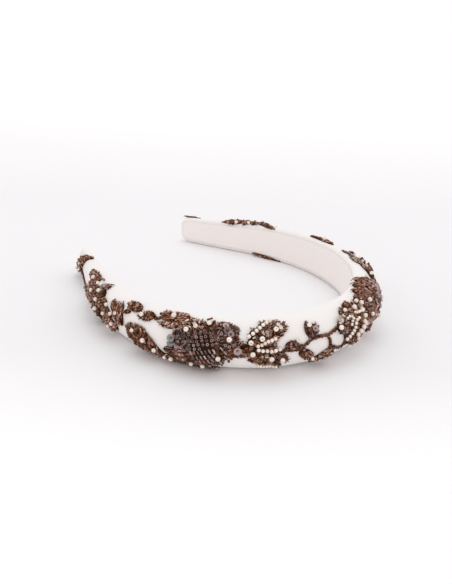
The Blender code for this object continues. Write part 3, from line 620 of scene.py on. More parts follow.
# Upright ring beads at places of their own: along, across and tone.
RINGS = {
    "side_flower": (
        (172.8, -0.6, "s"), (171.4, -0.2, "s"), (166.5, 0.4, "s"), (166.6, -2.6, "r"), (152.0, 12.0, "l"),
        (154.2, 11.6, "l"), (163.4, 0.2, "r"), (160.2, 3.6, "s"), (153.4, 0.8, "s"), (150.2, 5.4, "u"),
        (149.8, -3.2, "l"), (142.2, 5.2, "s"), (141.4, 2.4, "r"), (152.6, 6.8, "l"), (162.6, -3.8, "r"),
        (156.2, -7.0, "s"), (146.5, -9.4, "s"), (148.4, 0.6, "b")),
    "main_flower": (
        *((88.6 - 1.35 * n, 0.6 + 0.05 * n, "l") for n in range(3)),
        *((87.9 - 1.35 * n, -2.7 + 0.1 * n, "r") for n in range(3)),
        *((87.8 - 1.35 * n, -5.0 + 0.1 * n, "r") for n in range(3)), (90.4, 7.4, "l"), (85.9, 7.6, "l"),
        (88.1, 6.9, "s"), (85.1, 5.2, "s"), (83.9, 3.6, "s"), (85.4, 1.6, "s"), (87.4, 3.2, "l"),
        (82.8, 6.6, "l"), (82.9, 1.4, "s"), (84.6, 0.0, "s"), (66.4, -2.4, "s"), (64.2, -3.0, "u"),
        (66.0, 4.4, "s"), (64.3, 4.0, "l"), (62.6, 4.5, "s"), (69.3, 6.4, "s"), (68.2, 8.6, "l"),
        (71.4, 10.0, "s"), (77.4, 10.2, "l"), (78.4, 12.4, "r"), (79.4, -5.6, "s"), (72.6, -6.2, "l"),
        (70.8, 12.6, "r"), (62.4, 0.0, "u")),
    "pearl_tulip": (
        (47.6, 9.6, "c"), (54.8, 3.6, "s"), (52.8, 6.2, "u"), (46.0, 9.8, "b"), (44.2, 4.8, "s"),
        (48.0, 0.4, "s"), (42.6, -0.6, "s"), (51.4, -1.8, "s"), (48.2, -3.4, "u"), (43.6, -3.8, "s"),
        (57.0, 0.8, "s")),
    "crown_flower": (
        (7.2, 5.0, "s"), (10.0, 4.8, "l"), (8.2, 3.6, "s"), (6.2, 3.6, "s"), (1.4, 6.0, "u"),
        (-2.4, 8.0, "b"), (-0.5, 11.4, "r"), (-8.4, 10.8, "s"), (3.4, -1.6, "u"), (-5.6, 5.0, "u"),
        (0.6, -3.4, "b"), (-0.8, 13.4, "r")),
    "crown_bloom": (
        *((-33.4 + 0.9 * n, 11.6 - 1.5 * n, "r") for n in range(7)),
        *((-36.0 + 0.6 * n, 13.4 - 1.6 * n, "l") for n in range(8)), (-45.4, 4.2, "l"), (-38.4, 2.6, "l"),
        (-26.0, 4.4, "r"), (-29.4, 12.6, "r"), (-37.6, 12.0, "r"), (-24.4, 12.4, "b"), (-31.0, 17.0, "b"),
        (-22.6, 1.6, "r"), (-35.0, -2.4, "l"), (-41.4, 8.6, "r")),
    "far_flower": (
        (-125.4, 2.2, "l"), (-126.4, -3.4, "s"), (-137.4, 2.8, "s"), (-136.4, -3.6, "l"),
        (-131.4, -7.6, "s"), (-121.8, -0.6, "s")),
    "far_cluster": (
        (-170.0, 14.4, "u"), (-168.8, 14.8, "b"), (-161.6, 15.2, "u"), (-160.2, 15.4, "r"),
        (-152.6, 16.2, "u"), (-178.6, 14.6, "u"), (-163.0, 2.4, "s"), (-168.4, 0.4, "l"),
        (-166.0, -3.6, "s"), (-159.6, -3.4, "r"), (-174.8, 2.2, "s"), (-170.0, 9.6, "r"),
        (-158.4, 12.0, "r"), (-178.0, 4.4, "l")),
    "edge_leaf": ((164.8, 9.8, "s"), (167.6, 8.6, "b")),
    "upright_leaf": ((122.9, 2.4, "b"),),
    "large_leaf": ((115.4, 2.9, "s"), (97.6, -6.9, "u")),
    "tip_leaf": ((206.8, -4.6, "u"), (203.8, -3.6, "r")),
    "round_leaf": ((115.2, 11.8, "r"), (119.4, 11.0, "b")),
}

# Sequins: along, across, radius, tilt off the cloth in degrees, and tone.
SEQUINS = {
    "main_flower": (
        (91.4, 3.7, 1.8, 14, "t"), (91.4, 1.3, 1.7, 12, "t"), (60.6, 2.2, 1.9, 8, "l"),
        (65.6, 10.2, 1.8, 10, "l"), (66.6, 12.2, 1.5, 12, "l"), (64.0, 8.8, 1.4, 10, "l")),
    "crown_bloom": (
        (-37.4, 12.0, 1.8, 16, "l"), (-36.6, 9.8, 1.8, 16, "l"), (-35.4, 7.2, 1.8, 14, "l"),
        (-34.0, 4.8, 1.8, 14, "r"), (-32.4, 2.4, 1.7, 14, "l"), (-31.8, 7.6, 1.8, 12, "l"),
        (-30.6, 4.6, 1.7, 12, "l"), (-28.6, 2.2, 1.7, 12, "r"), (-26.8, 6.4, 1.5, 10, "r")),
    "sequin_leaf": ((23.4, 8.8, 1.4, 8, "l"),),
    "crown_flower": ((7.6, 9.4, 2.0, 10, "c"),),
    "side_flower": ((147.4, 9.6, 1.5, 14, "t"), (166.8, -4.2, 1.5, 12, "r")),
    "side_leaf": ((146.4, 11.0, 1.3, 10, "r"),),
    "far_flower": ((-121.4, -2.6, 1.8, 10, "l"), (-141.4, 4.6, 1.8, 10, "r")),
    "far_cluster": ((-150.8, 6.0, 1.7, 10, "l"),),
}

# Short stitched stems that join neighbouring motifs.
SHORT_STEMS = (
    ((103.4, 9.6), (101.4, 10.0), (99.6, 11.0), (98.0, 12.2)),
    ((95.6, -8.4), (93.6, -8.9), (91.6, -8.2)),
    ((41.2, 1.0), (38.4, 1.4), (34.6, 1.0), (31.2, 1.2)),
    ((32.0, 3.0), (31.2, 2.2)),
    ((31.4, 1.8), (31.0, 0.2)),
    ((27.0, 6.2), (26.4, 4.6)),
    ((24.4, 6.2), (24.6, 4.9)),
    ((13.4, -1.6), (11.2, -3.2), (8.8, -4.2), (7.2, -4.4), (5.8, -3.4)),
    ((5.8, -3.6), (5.4, -2.4), (5.2, -1.4)),
    ((12.2, 6.0), (10.4, 6.4)),
    ((141.0, -3.0), (143.0, -2.0)),
    ((212.6, -3.4), (207.4, -4.8), (202.0, -4.2), (196.4, -3.9)),
    ((-48.6, 8.0), (-51.4, 8.6)),
    ((-48.8, 3.0), (-52.0, 2.6)),
    ((-184.0, 3.4), (-181.0, 2.6)),
    ((-117.0, 3.4), (-119.6, 2.6)),
)


def outline_width(form, share):
    """Half of a leaf's width, as a share of its most, from the stalk at 0 to the tip at 1."""
    share = np.clip(share, 0, 1)
    if form == "leaf":
        return 0.10 + 0.90 * np.sin(np.pi * share ** 0.85) ** 0.9
    if form == "broad":
        return 0.10 + 0.90 * np.sin(np.pi * share ** 1.4) ** 0.8
    if form == "petal":
        return 0.16 + 0.84 * share ** 0.6 * (1 - share ** 5) ** 0.4
    return 0.34 + 0.66 * np.sin(np.pi * share) ** 0.5


# Grounds of leaves: the points across their top and their width as a share of the leaf's. Grounds of
# flowers: the directions about the centre, the rings on top, and how far they stay inside the outline.
LEAF_TOP, LEAF_GROUND_SHARE = 9, 0.9
FLOWER_DIRECTIONS, FLOWER_TOP, FLOWER_INSET = 144, 23, 0.35

# How wires fill a motif: the step from one to the next as a share of their usual length, over what distance
# from the middle line their lean sets in, how much of a place's turn from its petal's direction its wire
# follows, and how far short of the outline they may begin, on leaves and on petals.
STEP_SHARE = 0.8
LEAN_RUN = 0.4
FAN_SHARE = 0.6
LEAF_MARGIN = 0.45
PETAL_MARGIN = (0.1, 0.9)


class Leaf:
    """A leaf on the spread cloth. Its middle line bows out as half a sine wave."""

    def __init__(self, row):
        for key, value in zip_longest(LEAF_COLUMNS, row, fillvalue=0):
            setattr(self, key, value)
        self.start = np.array([self.along, self.across])
        self.run = np.array([self.tip_along, self.tip_across]) - self.start
        self.length = np.hypot(*self.run)
        self.ahead = self.run / self.length
        self.aside = np.array([-self.ahead[1], self.ahead[0]])

    def bowed(self, share):
        """How far the middle line stands out at each share of the way."""
        return self.bow * np.sin(np.pi * np.clip(share, 0, 1))

    def place(self, share, offset):
        """Spread places from the share of the way to the tip and the distance from the middle line."""
        out = offset + self.bowed(share)
        return [self.start[axis] + share * self.run[axis] + out * self.aside[axis] for axis in (0, 1)]

    def shares(self, along, across):
        """The share of the way to the tip, and the distance from the middle line as a share of the half
        width there, so that 1 is the outline."""
        east, north = along - self.start[0], across - self.start[1]
        share = (east * self.ahead[0] + north * self.ahead[1]) / self.length
        offset = east * self.aside[0] + north * self.aside[1]
        return share, (offset - self.bowed(share)) / self.half(share)

    def half(self, share):
        """Half of the width at each share of the way."""
        return self.width / 2 * outline_width(self.form, share)

    def bed(self, along, across):
        """Height of the padded ground: highest along the middle line, and lifted towards the stalk."""
        share, edge = self.shares(along, across)
        ridge = LEAF_RIDGE * (1 - np.clip(np.abs(edge), 0, 1) ** 1.5)
        return GROUND_LEAF + ridge + self.lift * np.clip(1 - share, 0, 1) ** 1.5

    def heading(self, share):
        """The direction of the middle line at each share of the way."""
        slope = np.pi * self.bow / self.length * np.cos(np.pi * np.clip(share, 0, 1))
        return np.arctan2(self.run[1], self.run[0]) + np.arctan(slope)

    def lay_ground(self, work):
        """A leaf's ground: at each share of the way a closed section, domed above and flat below, a little
        narrower than the leaf so that the wires overhang it."""
        share = np.linspace(0, 1, max(14, int(self.length * 1.4)))[:, None]
        cross = np.concatenate([np.linspace(1, -1, LEAF_TOP), np.linspace(-0.9, 0.9, 3)])[None, :]
        cross = cross * LEAF_GROUND_SHARE
        offset = self.half(share) * cross
        along, across = self.place(share, offset)
        top = (np.arange(cross.size) < LEAF_TOP)[None]
        level = self.bed(along, across) - LEAF_RIDGE * np.abs(cross) ** 4
        flat = np.stack([share * self.length + 0 * cross, offset], axis=-1)
        points = on_cloth(along, across, np.where(top, level, -SINK))
        work.add(points, wrap(*along.shape), "ground", 0.5, flat)

    def fill(self, work, pearls):
        """Wires over the whole leaf that lean away from its middle line and overhang its outline a little."""
        lean, typical = STITCHES[self.stitch]
        ahead, aside = staggered(self.length, self.width / 2, STEP_SHARE * typical)
        share = ahead / self.length
        edge = self.half(share) + RANDOM.uniform(-LEAF_MARGIN, 0.0, len(share))
        keep = (np.abs(aside) < edge) & (share > 0) & (share < 0.99)
        share, aside = share[keep], aside[keep]
        heading = self.heading(share) + lean * np.clip(aside / LEAN_RUN, -1, 1)
        lay_wires(work, *self.place(share, aside), heading, typical, self.tones, self.bed, pearls)


class Flower:
    """A flower on the spread cloth, with a reach in each direction from its centre."""

    def __init__(self, name):
        self.along, self.across, self.throat, self.heart, self.petals = FLOWERS[name]
        self.name = name
        self.angles, self.reaches, self.spreads = np.array([petal[:3] for petal in self.petals], float).T

    def each(self, values, direction):
        """A value for each petal, in a shape that spreads over the directions."""
        return values.reshape(-1, *[1] * direction.ndim)

    def apart(self, direction):
        """How far each direction is from each petal's own, as a share of half the petal's spread."""
        turn = turn_to(self.each(self.angles, direction), direction[None])
        return np.abs(turn) / self.each(self.spreads, direction)

    def reach(self, direction):
        """The outline: the farthest reach of any petal, each a lobe about its own direction."""
        extra = self.each(self.reaches - self.throat, direction)
        lobes = self.throat + extra * np.clip(1 - self.apart(direction) ** 2, 0, 1) ** 0.7
        return lobes.max(axis=0)

    def polar(self, along, across):
        """Distance and direction in degrees from the centre."""
        east, north = along - self.along, across - self.across
        return np.hypot(east, north), np.degrees(np.arctan2(north, east))

    def owner(self, direction):
        """Which petal covers each direction: the one whose own direction is nearest, by its spread."""
        return self.apart(direction).argmin(axis=0)

    def bed(self, along, across):
        """Height of the ground: an ellipse over the whole flower, a ridge along each petal that dies
        out towards the middle, and a dome over the heart."""
        away, direction = self.polar(np.asarray(along, float), np.asarray(across, float))
        share = np.clip(away / self.reach(direction), 0, 1)
        ridge = np.clip(1 - self.apart(direction).min(axis=0), 0, 1) ** 0.8 * np.clip(share * 2 - 0.3, 0, 1)
        height = GROUND_FLOWER + FLOWER_SWELL * np.sqrt(1 - 0.98 * share ** 2) + PETAL_RIDGE * ridge
        if self.name in HEARTS:
            heart_along, heart_across, radius, swell = HEARTS[self.name]
            from_heart = np.hypot(along - heart_along, across - heart_across) / (radius + 0.4)
            height = height + swell * np.sqrt(np.clip(1 - from_heart ** 2, 0, 1))
        return height

    def lay_ground(self, work):
        """A flower's ground: rings about its centre, out over the petals and back beneath them."""
        direction = np.linspace(0, 360, FLOWER_DIRECTIONS, endpoint=False)
        shares = np.concatenate([[0.02], np.linspace(0.08, 1, FLOWER_TOP - 1), [0.98, 0.5, 0.02]])[:, None]
        radius = shares * (self.reach(direction)[None] - FLOWER_INSET)
        angle = np.radians(direction)
        along = self.along + radius * np.cos(angle)
        across = self.across + radius * np.sin(angle)
        above = (np.arange(len(shares)) < FLOWER_TOP)[:, None]
        height = np.where(above, self.bed(along, across) * (0.3 + 0.7 * (1 - shares ** 10)), -SINK)
        flat = np.stack([radius, angle[None] * 12 + 0 * radius], axis=-1)
        work.add(on_cloth(along, across, height), wrap(*along.shape), "ground", 0.5, flat)

    def fill(self, work, pearls):
        """Each petal is filled as a leaf is, from the flower's middle outwards, with the wires spread like a
        fan towards its sides."""
        for number, (angle, reach, _, stitch, tones) in enumerate(self.petals):
            lean, typical = STITCHES[stitch]
            turn = np.radians(angle)
            ahead, aside = staggered(reach, reach * 0.55, STEP_SHARE * typical)
            along = self.along + ahead * np.cos(turn) - aside * np.sin(turn)
            across = self.across + ahead * np.sin(turn) + aside * np.cos(turn)
            radius, direction = self.polar(along, across)
            keep = (ahead > 0) & (self.owner(direction) == number) & (radius > self.heart)
            keep &= radius < self.reach(direction) - RANDOM.uniform(*PETAL_MARGIN, len(radius))
            fan = FAN_SHARE * np.radians(turn_to(angle, direction))
            heading = turn + fan + lean * np.clip(aside / LEAN_RUN, -1, 1)
            lay_wires(work, along[keep], across[keep], heading[keep], typical, tones, self.bed, pearls)


MOTIFS = {**{row[0]: Leaf(row) for row in LEAVES}, **{name: Flower(name) for name in FLOWERS}}


def even_steps(curve, step):
    """The same line at even distances of about ``step``."""
    length = np.append(0, np.cumsum(np.hypot(*np.diff(curve, axis=0).T)))
    even = np.linspace(0, length[-1], max(2, round(length[-1] / step) + 1))
    return np.stack([np.interp(even, length, curve[:, i]) for i in range(2)], axis=1)


def smooth_path(points, step):
    """Even steps along the Catmull-Rom curve through the points."""
    points = np.asarray(points, float)
    ends = np.concatenate([[2 * points[0] - points[1]], points, [2 * points[-1] - points[-2]]])
    at = np.linspace(0, len(points) - 1 - 1e-9, 400)
    cell, t = at.astype(int), (at % 1)[:, None]
    p0, p1, p2, p3 = (ends[cell + i] for i in range(4))
    curve = 0.5 * (2 * p1 + (p2 - p0) * t + (2 * p0 - 5 * p1 + 4 * p2 - p3) * t ** 2
                   + (3 * p1 - p0 - 3 * p2 + p3) * t ** 3)
    return even_steps(curve, step)


def to_left(run):
    """A quarter turn to the left of each step along and across."""
    return np.stack([-run[:, 1], run[:, 0]], axis=1)


def sideways(path):
    """The unit direction to the left of a line at each of its points."""
    run = np.gradient(path, axis=0)
    return to_left(run / np.hypot(*run.T)[:, None])


# A wire's rings: their shares of its length, and their shares of its radius. How unevenly wires are sewn:
# the sway of their middle as a share of the length, the spread of their radius, and the least and the
# further share of the usual arch.
WIRE_SHARES = np.array([0.0, 0.2, 0.5, 0.8, 1.0])
WIRE_TAPER = np.array([0.5, 0.95, 1.0, 0.95, 0.5])
WIRE_SIDES = 5
WIRE_SWAY = 0.06
WIRE_SPREAD = 0.14
ARCH_LEAST, ARCH_MORE = 0.45, 0.95


def sew_wires(work, starts, ends, tones, bed, radius=WIRE_RADIUS, arch=WIRE_ARCH):
    """Short coiled wires, each laid from a start to an end: a tube of five rings whose middle arches off
    the bed as half a sine wave and sways a little to one side, thinner where its ends go into the cloth."""
    count = len(starts)
    if not count:
        return
    run = ends - starts
    length = np.hypot(*run.T)
    side = to_left(run) / length[:, None]
    hump = np.sin(np.pi * WIRE_SHARES)
    sway = (WIRE_SWAY * length * RANDOM.standard_normal(count))[:, None] * hump
    places = starts[:, None] + WIRE_SHARES[None, :, None] * run[:, None] + sway[..., None] * side[:, None]
    spread = np.clip(1 + WIRE_SPREAD * RANDOM.standard_normal((count, 1)), 0.7, 1.35)
    size = radius * spread * WIRE_TAPER
    rise = arch * (ARCH_LEAST + ARCH_MORE * RANDOM.random((count, 1)))
    rise = rise * np.minimum(length / 1.3, 1.2)[:, None]
    spots = places[..., 0], places[..., 1]
    level = bed(*spots) + radius * 0.45 + rise * hump
    centre = on_cloth(*spots, level)
    off = unit(on_cloth(*spots, level + 1) - centre)
    ahead = unit(np.gradient(centre, axis=1))
    left = unit(np.cross(off, ahead))
    off = np.cross(ahead, left)
    angle = turns(WIRE_SIDES)
    ring = np.cos(angle)[:, None] * left[:, :, None] + np.sin(angle)[:, None] * off[:, :, None]
    points = centre[:, :, None] + size[..., None, None] * ring
    flat = np.stack(np.broadcast_arrays((length[:, None] * WIRE_SHARES)[..., None], angle * radius), axis=-1)
    shape = (count, len(WIRE_SHARES) * WIRE_SIDES)
    drawn = RANDOM.integers(0, len(tones), count)
    tint = RANDOM.random(count) ** 1.5
    for number, tone in enumerate(tones):
        mine = drawn == number
        if mine.any():
            work.add_copies(points.reshape(*shape, 3)[mine], wrap(len(WIRE_SHARES), WIRE_SIDES),
                            tone + "_wire", tint[mine], flat.reshape(*shape, 2)[mine])


# Stitching: how far the wires lean away from the middle line, and their usual length. Then the spreads of
# their places, across in column gaps and ahead in steps, and of their heading, their least and further
# length as shares of the usual, how far they tuck in under a pearl, and the share of places between short
# wires that also get a small seed bead.
STITCHES = {"chevron": (np.radians(35), 1.6), "strand": (np.radians(15), 2.6)}
ASIDE_SPREAD, AHEAD_SPREAD, HEADING_SPREAD = 0.22, 0.15, 0.16
LENGTH_LEAST, LENGTH_MORE = 0.72, 0.45
WIRE_TUCK = 0.3
SEED_SHARE = 0.05


def clear_of(along, across, pearls, room):
    """True where a place is further than ``room`` from every pearl's edge."""
    keep = np.ones(np.shape(along), bool)
    for pearl_along, pearl_across, diameter in pearls:
        keep &= np.hypot(along - pearl_along, across - pearl_across) > diameter / 2 + room
    return keep


def strung(points, diameter):
    """The places of the pearls on a string through the points."""
    return even_steps(smooth_path(points, PATH_STEP), diameter * STRING_STEP)


def pearls_on(name):
    """All the pearls and sequins sewn to a motif, as along, across and diameter."""
    own = list(SMALL_PEARLS.get(name, ()))
    own += [row[:3] for row in PEARLS if row[3] == name]
    for diameter, points in PEARL_STRINGS.get(name, ()):
        own += [(*place, diameter) for place in strung(points, diameter)]
    own += [(along, across, radius * 1.3) for along, across, radius, *_ in SEQUINS.get(name, ())]
    return own


def staggered(length, half, step):
    """Places over a strip, as distances along it and to its left: columns a wire's gap apart, each begun
    at its own share of a step, all a little uneven."""
    columns = np.arange(-half, half + WIRE_GAP, WIRE_GAP)[:, None]
    ahead = step * (np.arange(int(length / step) + 2) - RANDOM.random((len(columns), 1)))
    aside = columns + ASIDE_SPREAD * WIRE_GAP * RANDOM.standard_normal(ahead.shape)
    return (ahead + AHEAD_SPREAD * step * RANDOM.standard_normal(ahead.shape)).ravel(), aside.ravel()


def lay_wires(work, along, across, heading, typical, tones, bed, pearls):
    """A wire at each place, along its heading, apart from where a pearl sits. Where the tones have bronze,
    a few wires are pale, as painted glints. A few places also get a small seed bead that stands up between
    the wires."""
    keep = clear_of(along, across, pearls, -WIRE_TUCK)
    middle = np.stack([along, across], axis=1)[keep]
    heading = heading[keep] + HEADING_SPREAD * RANDOM.standard_normal(keep.sum())
    half = 0.5 * typical * (LENGTH_LEAST + LENGTH_MORE * RANDOM.random(keep.sum()))[:, None]
    way = compass(heading) * half
    # Where there is bronze, the added pale wires are painted glints.
    sew_wires(work, middle - way, middle + way, 2 * tones + "p" if "b" in tones else tones, bed)
    raised = (RANDOM.random(len(middle)) < SEED_SHARE) & clear_of(*middle.T, pearls, 0.4)
    if raised.any() and typical < 2:
        sew_rings(work, *middle[raised].T, RANDOM.choice(list(tones), raised.sum()), bed, SMALL_SEED, 0.3)


def by_tone(tones):
    """Each tone among the beads, in the order of the alphabet, with the beads that have it."""
    tones = np.array(tones)
    return [(tone, tones == tone) for tone in sorted(set(tones.tolist()))]


def sew_rings(work, along, across, tones, bed, size=SEED, lift=RING_LIFT):
    """Seed beads that stand on end, so that each shows as a ring. ``tones`` has a letter for each."""
    length, radius, hole = size
    for tone, mine in by_tone(tones):
        height = bed(along[mine], across[mine]) + lift + length / 2
        frames = cloth_frames(along[mine], across[mine], height, 0.3)
        scale = RING_LEAST + RING_MORE * RANDOM.random()
        scatter(work, bead(length, radius * scale, hole * scale), frames, tone, upright=True, lean=9.0)


def sew_bugles(work, starts, ends, tones, bed, radius=0.46, lift=0.45):
    """One bugle bead from each start to each end: a straight tube with a hole. ``tones`` has a letter
    for each."""
    middle = (starts + ends) / 2
    run = ends - starts
    height = bed(middle[:, 0], middle[:, 1]) + radius + lift
    frames = cloth_frames(middle[:, 0], middle[:, 1], height, np.arctan2(run[:, 1], run[:, 0]))
    points, faces = bead(1.0, radius, radius * 0.45, square=0.3)
    stretched = points[None] * np.stack([np.hypot(*run.T), *np.ones((2, len(run)))], axis=1)[:, None]
    world = set_at(stretched, *frames)
    tint = RANDOM.random(len(starts))
    for tone, mine in by_tone(tones):
        work.add_copies(world[mine], faces, tone, tint[mine])


def add_pearl(work, along, across, diameter, bed):
    """One pearl with its hole facing away from the cloth."""
    spot = np.array([along]), np.array([across])
    height = bed(*spot) + PEARL_LIFT + diameter / 2
    frames = cloth_frames(*spot, height, np.array([0.3]))
    scatter(work, pearl_shape(diameter / 2), frames, "pearl", upright=True, lean=7.0)


# Cupped sequins: their height over the bed and their depth, and the bead that holds each, by its length,
# radius and hole, with its height in the cup.
SEQUIN_LIFT, SEQUIN_DEPTH = 0.55, 0.42
SEQUIN_BEAD, SEQUIN_BEAD_LIFT = (0.6, 0.42, 0.16), 0.35


def sew_beads(work, name, bed):
    """The small pearls, pearl strings, rings, bugles and cupped sequins of a motif."""
    for along, across, diameter in SMALL_PEARLS.get(name, ()):
        add_pearl(work, along, across, diameter, bed)
    for diameter, points in PEARL_STRINGS.get(name, ()):
        path = strung(points, diameter)
        height = bed(path[:, 0], path[:, 1]) + STRING_LIFT + diameter * 0.5
        frames = cloth_frames(path[:, 0], path[:, 1], height, headings(path))
        scatter(work, pearl_shape(diameter / 2, 12), frames, "pearl", lean=8.0)
    pearls = pearls_on(name)
    rings = [row for row in RINGS.get(name, ()) if clear_of(*row[:2], pearls, PEARL_ROOM)]
    if rings:
        along, across, tones = zip(*rings)
        sew_rings(work, np.array(along), np.array(across), tones, bed)
    bugles = BUGLES.get(name, ())
    if bugles:
        table = np.array([row[:4] for row in bugles])
        sew_bugles(work, table[:, :2], table[:, 2:], [row[4] for row in bugles], bed)
    for along, across, radius, tilt, tone in SEQUINS.get(name, ()):
        spot = np.array([along]), np.array([across])
        here, forward, left, off = cloth_frames(*spot, bed(*spot) + SEQUIN_LIFT, RANDOM.random(1) * 6.28)
        lean = np.radians(tilt)
        axis = off * np.cos(lean) + forward * np.sin(lean)
        side = forward * np.cos(lean) - off * np.sin(lean)
        scatter(work, sequin_shape(radius, SEQUIN_DEPTH), (here, side, np.cross(axis, side), axis),
                tone + "_sequin", upright=True, lean=0.0)
        here = here + off * SEQUIN_BEAD_LIFT
        scatter(work, bead(*SEQUIN_BEAD), (here, forward, left, off), tone, upright=True)


# The main flower's middle: its first ring bead and the steps to the next column and row, its first bugle
# bead and the step to the next strip, the distance from a strip's start to its first bugle bead and from
# each of them to the next, and half of their length. Then the first strips' heading in degrees, the turn
# from strip to strip, and the stretch along the band that the strips cover.
FIRST_RING, RING_COLUMN, RING_ROW = np.array([(79.1, 6.1), (-2.1, 0.35), (-0.65, -1.3)])
FIRST_BUGLE, BUGLE_STRIP = np.array([(78.2, 1.4), (-1.62, 0.36)])
BUGLE_START, BUGLE_STEP, BUGLE_HALF = 1.1, 2.42, 1.08
STRIP_HEADING, STRIP_TURN = -130, 2.6
STRIPS_FROM, STRIPS_TO = 64.6, 84.5


# How each raised middle is filled. All three functions take the work, the flower, the middle's place and the
# pearls to keep clear of, which only the first needs.
def beaded_heart(work, flower, heart, pearls):
    """Rows of ring beads above a fan of slanting bugle beads that runs down to the flower's lower edge."""
    row, column = np.arange(-2, 4)[:, None, None], np.arange(-2, 6)[None, :, None]
    places = (FIRST_RING + column * RING_COLUMN + row * RING_ROW).reshape(-1, 2)
    places = places + 0.12 * RANDOM.standard_normal(places.shape)
    near = np.hypot(*(places - heart).T) < HEARTS[flower.name][2] + 1.2
    near &= places[:, 1] > 1.9 + 0.20 * (FIRST_BUGLE[0] - places[:, 0])
    near &= clear_of(*places.T, pearls, PEARL_ROOM)
    tones = RANDOM.choice(list("ssllr"), near.sum())
    sew_rings(work, *places[near].T, tones, flower.bed, lift=0.1)
    strip, number = np.arange(-2, 8)[:, None], np.arange(6)
    heading = np.radians(STRIP_HEADING + STRIP_TURN * (2.5 - strip)) + 0 * number
    away = (BUGLE_START + BUGLE_STEP * number)[:, None]
    centre = (FIRST_BUGLE + strip[..., None] * BUGLE_STRIP + away * compass(heading)).reshape(-1, 2)
    distance, direction = flower.polar(*centre.T)
    keep = (distance < flower.reach(direction) - 1.3) & clear_of(*centre.T, pearls, 0.25)
    keep &= (centre[:, 0] > STRIPS_FROM) & (centre[:, 0] < STRIPS_TO)
    half = compass(heading.ravel())[keep] * BUGLE_HALF
    tones = RANDOM.choice(list("sslu"), keep.sum())
    sew_bugles(work, centre[keep] - half, centre[keep] + half, tones, flower.bed, 0.5, 0.15)


# The whorl: its rings' radii, the gap between wires, half of their length and their lean. The rings of
# beads: each ring's radius and its count.
WHORL_RINGS = (0.5, 1.2, 1.9, 2.6, 3.3, 4.0, 4.6)
WHORL_GAP, WHORL_HALF, WHORL_LEAN = 1.25, 0.85, np.radians(62)
BEAD_RINGS = ((0.02, 1), (1.75, 6), (3.5, 12))


def whorled_heart(work, flower, heart, pearls):
    """Rings of wires that all lean the same way round, like a whorl."""
    for ring in WHORL_RINGS:
        spin = np.arange(0, 2 * np.pi, WHORL_GAP / ring) + RANDOM.random()
        spin = spin[:max(3, int(2 * np.pi * ring / WHORL_GAP))]
        place = heart + ring * compass(spin)
        way = WHORL_HALF * compass(spin + WHORL_LEAN)
        sew_wires(work, place - way, place + way, "ubru", flower.bed)


def ringed_heart(work, flower, heart, pearls):
    """Rings of upright beads about one another."""
    for ring, count in BEAD_RINGS:
        place = heart + ring * compass(turns(count))
        sew_rings(work, *place.T, RANDOM.choice(list("usb"), count), flower.bed, lift=0.1)


FILL_HEART = {"main_flower": beaded_heart, "crown_bloom": whorled_heart, "far_flower": ringed_heart}


# Stems: the core's radius, height and twist, and the wires over it: their height, arch and radius as a share
# of the usual, the step from one to the next, how far they lean away and reach, and their tones.
STEM_RADIUS = 0.52
STEM_HEIGHT = 0.30
STEM_TWIST = 1.3
STEM_WIRES, STEM_ARCH, STEM_WIRE_SHARE = 0.36, 0.28, 0.92
STEM_STEP = 0.42
STEM_LEAN = np.radians(36)
STEM_REACH, STEM_REACH_MORE = 1.35, 0.60
STEM_TONES = "uusu"


def level_bed(height):
    """A bed that has the same height everywhere."""
    return lambda along, across: height + 0 * along


def stitched_stem(work, points):
    """A stem: a low twisted core, thinner towards its ends, covered by short wires that lean away from it
    on both sides."""
    path = smooth_path(points, PATH_STEP)
    length = PATH_STEP * np.arange(len(path))
    angle = turns(8)
    size = STEM_RADIUS * (0.8 + 0.2 * np.abs(np.cos(angle[None] - length[:, None] * STEM_TWIST)))
    size = size * np.sqrt(np.clip(np.minimum(length, length[::-1]) / 0.5, 0.05, 1))[:, None]
    places = path[:, None] + (size * np.cos(angle))[..., None] * sideways(path)[:, None]
    points = on_cloth(places[..., 0], places[..., 1], STEM_HEIGHT + size * np.sin(angle))
    faces = [group[:, ::-1] for group in wrap(len(path), len(angle))]
    work.add(points, faces, "ground", 0.5)
    middle = even_steps(path, STEM_STEP)
    heading = headings(middle)
    for sign in (-1, 1):
        way = compass(heading + sign * (STEM_LEAN + 0.15 * RANDOM.standard_normal(len(middle))))
        start = middle - way * 0.25 + 0.06 * RANDOM.standard_normal(middle.shape)
        reach = STEM_REACH + STEM_REACH_MORE * RANDOM.random((len(middle), 1))
        sew_wires(work, start, start + way * reach, STEM_TONES, level_bed(STEM_WIRES),
                  WIRE_RADIUS * STEM_WIRE_SHARE, STEM_ARCH)


def link(tree, *pairs):
    """Links each output to its input."""
    for start, end in pairs:
        tree.links.new(start, end)


def add_node(tree, kind, inputs=(), **settings):
    """A shader node. ``inputs`` gives sockets to link, or plain values, by place or by name."""
    node = tree.nodes.new("ShaderNode" + kind)
    for key, value in settings.items():
        setattr(node, key, value)
    for key, value in inputs.items() if isinstance(inputs, dict) else enumerate(inputs):
        if isinstance(value, bpy.types.NodeSocket):
            tree.links.new(value, node.inputs[key])
        else:
            node.inputs[key].default_value = value
    return node


def maths(tree, operation, *values):
    """What a maths node gives for numbers or sockets."""
    return add_node(tree, "Math", values, operation=operation).outputs[0]


def between(tree, value):
    """A value held between 0 and 1."""
    return maths(tree, "MINIMUM", maths(tree, "MAXIMUM", value, 0.0), 1.0)


def noise(tree, vector, scale, detail=2.0):
    """Soft noise at each place, between 0 and 1."""
    return add_node(tree, "TexNoise", {"Vector": vector, "Scale": scale, "Detail": detail}).outputs[0]


def blend_colour(tree, factor, low, high):
    """A colour between two, each a socket or red, green and blue, by a factor from a socket."""
    low, high = ((*colour, 1) if isinstance(colour, tuple) else colour for colour in (low, high))
    return add_node(tree, "Mix", {0: factor, 6: low, 7: high}, data_type="RGBA").outputs[2]


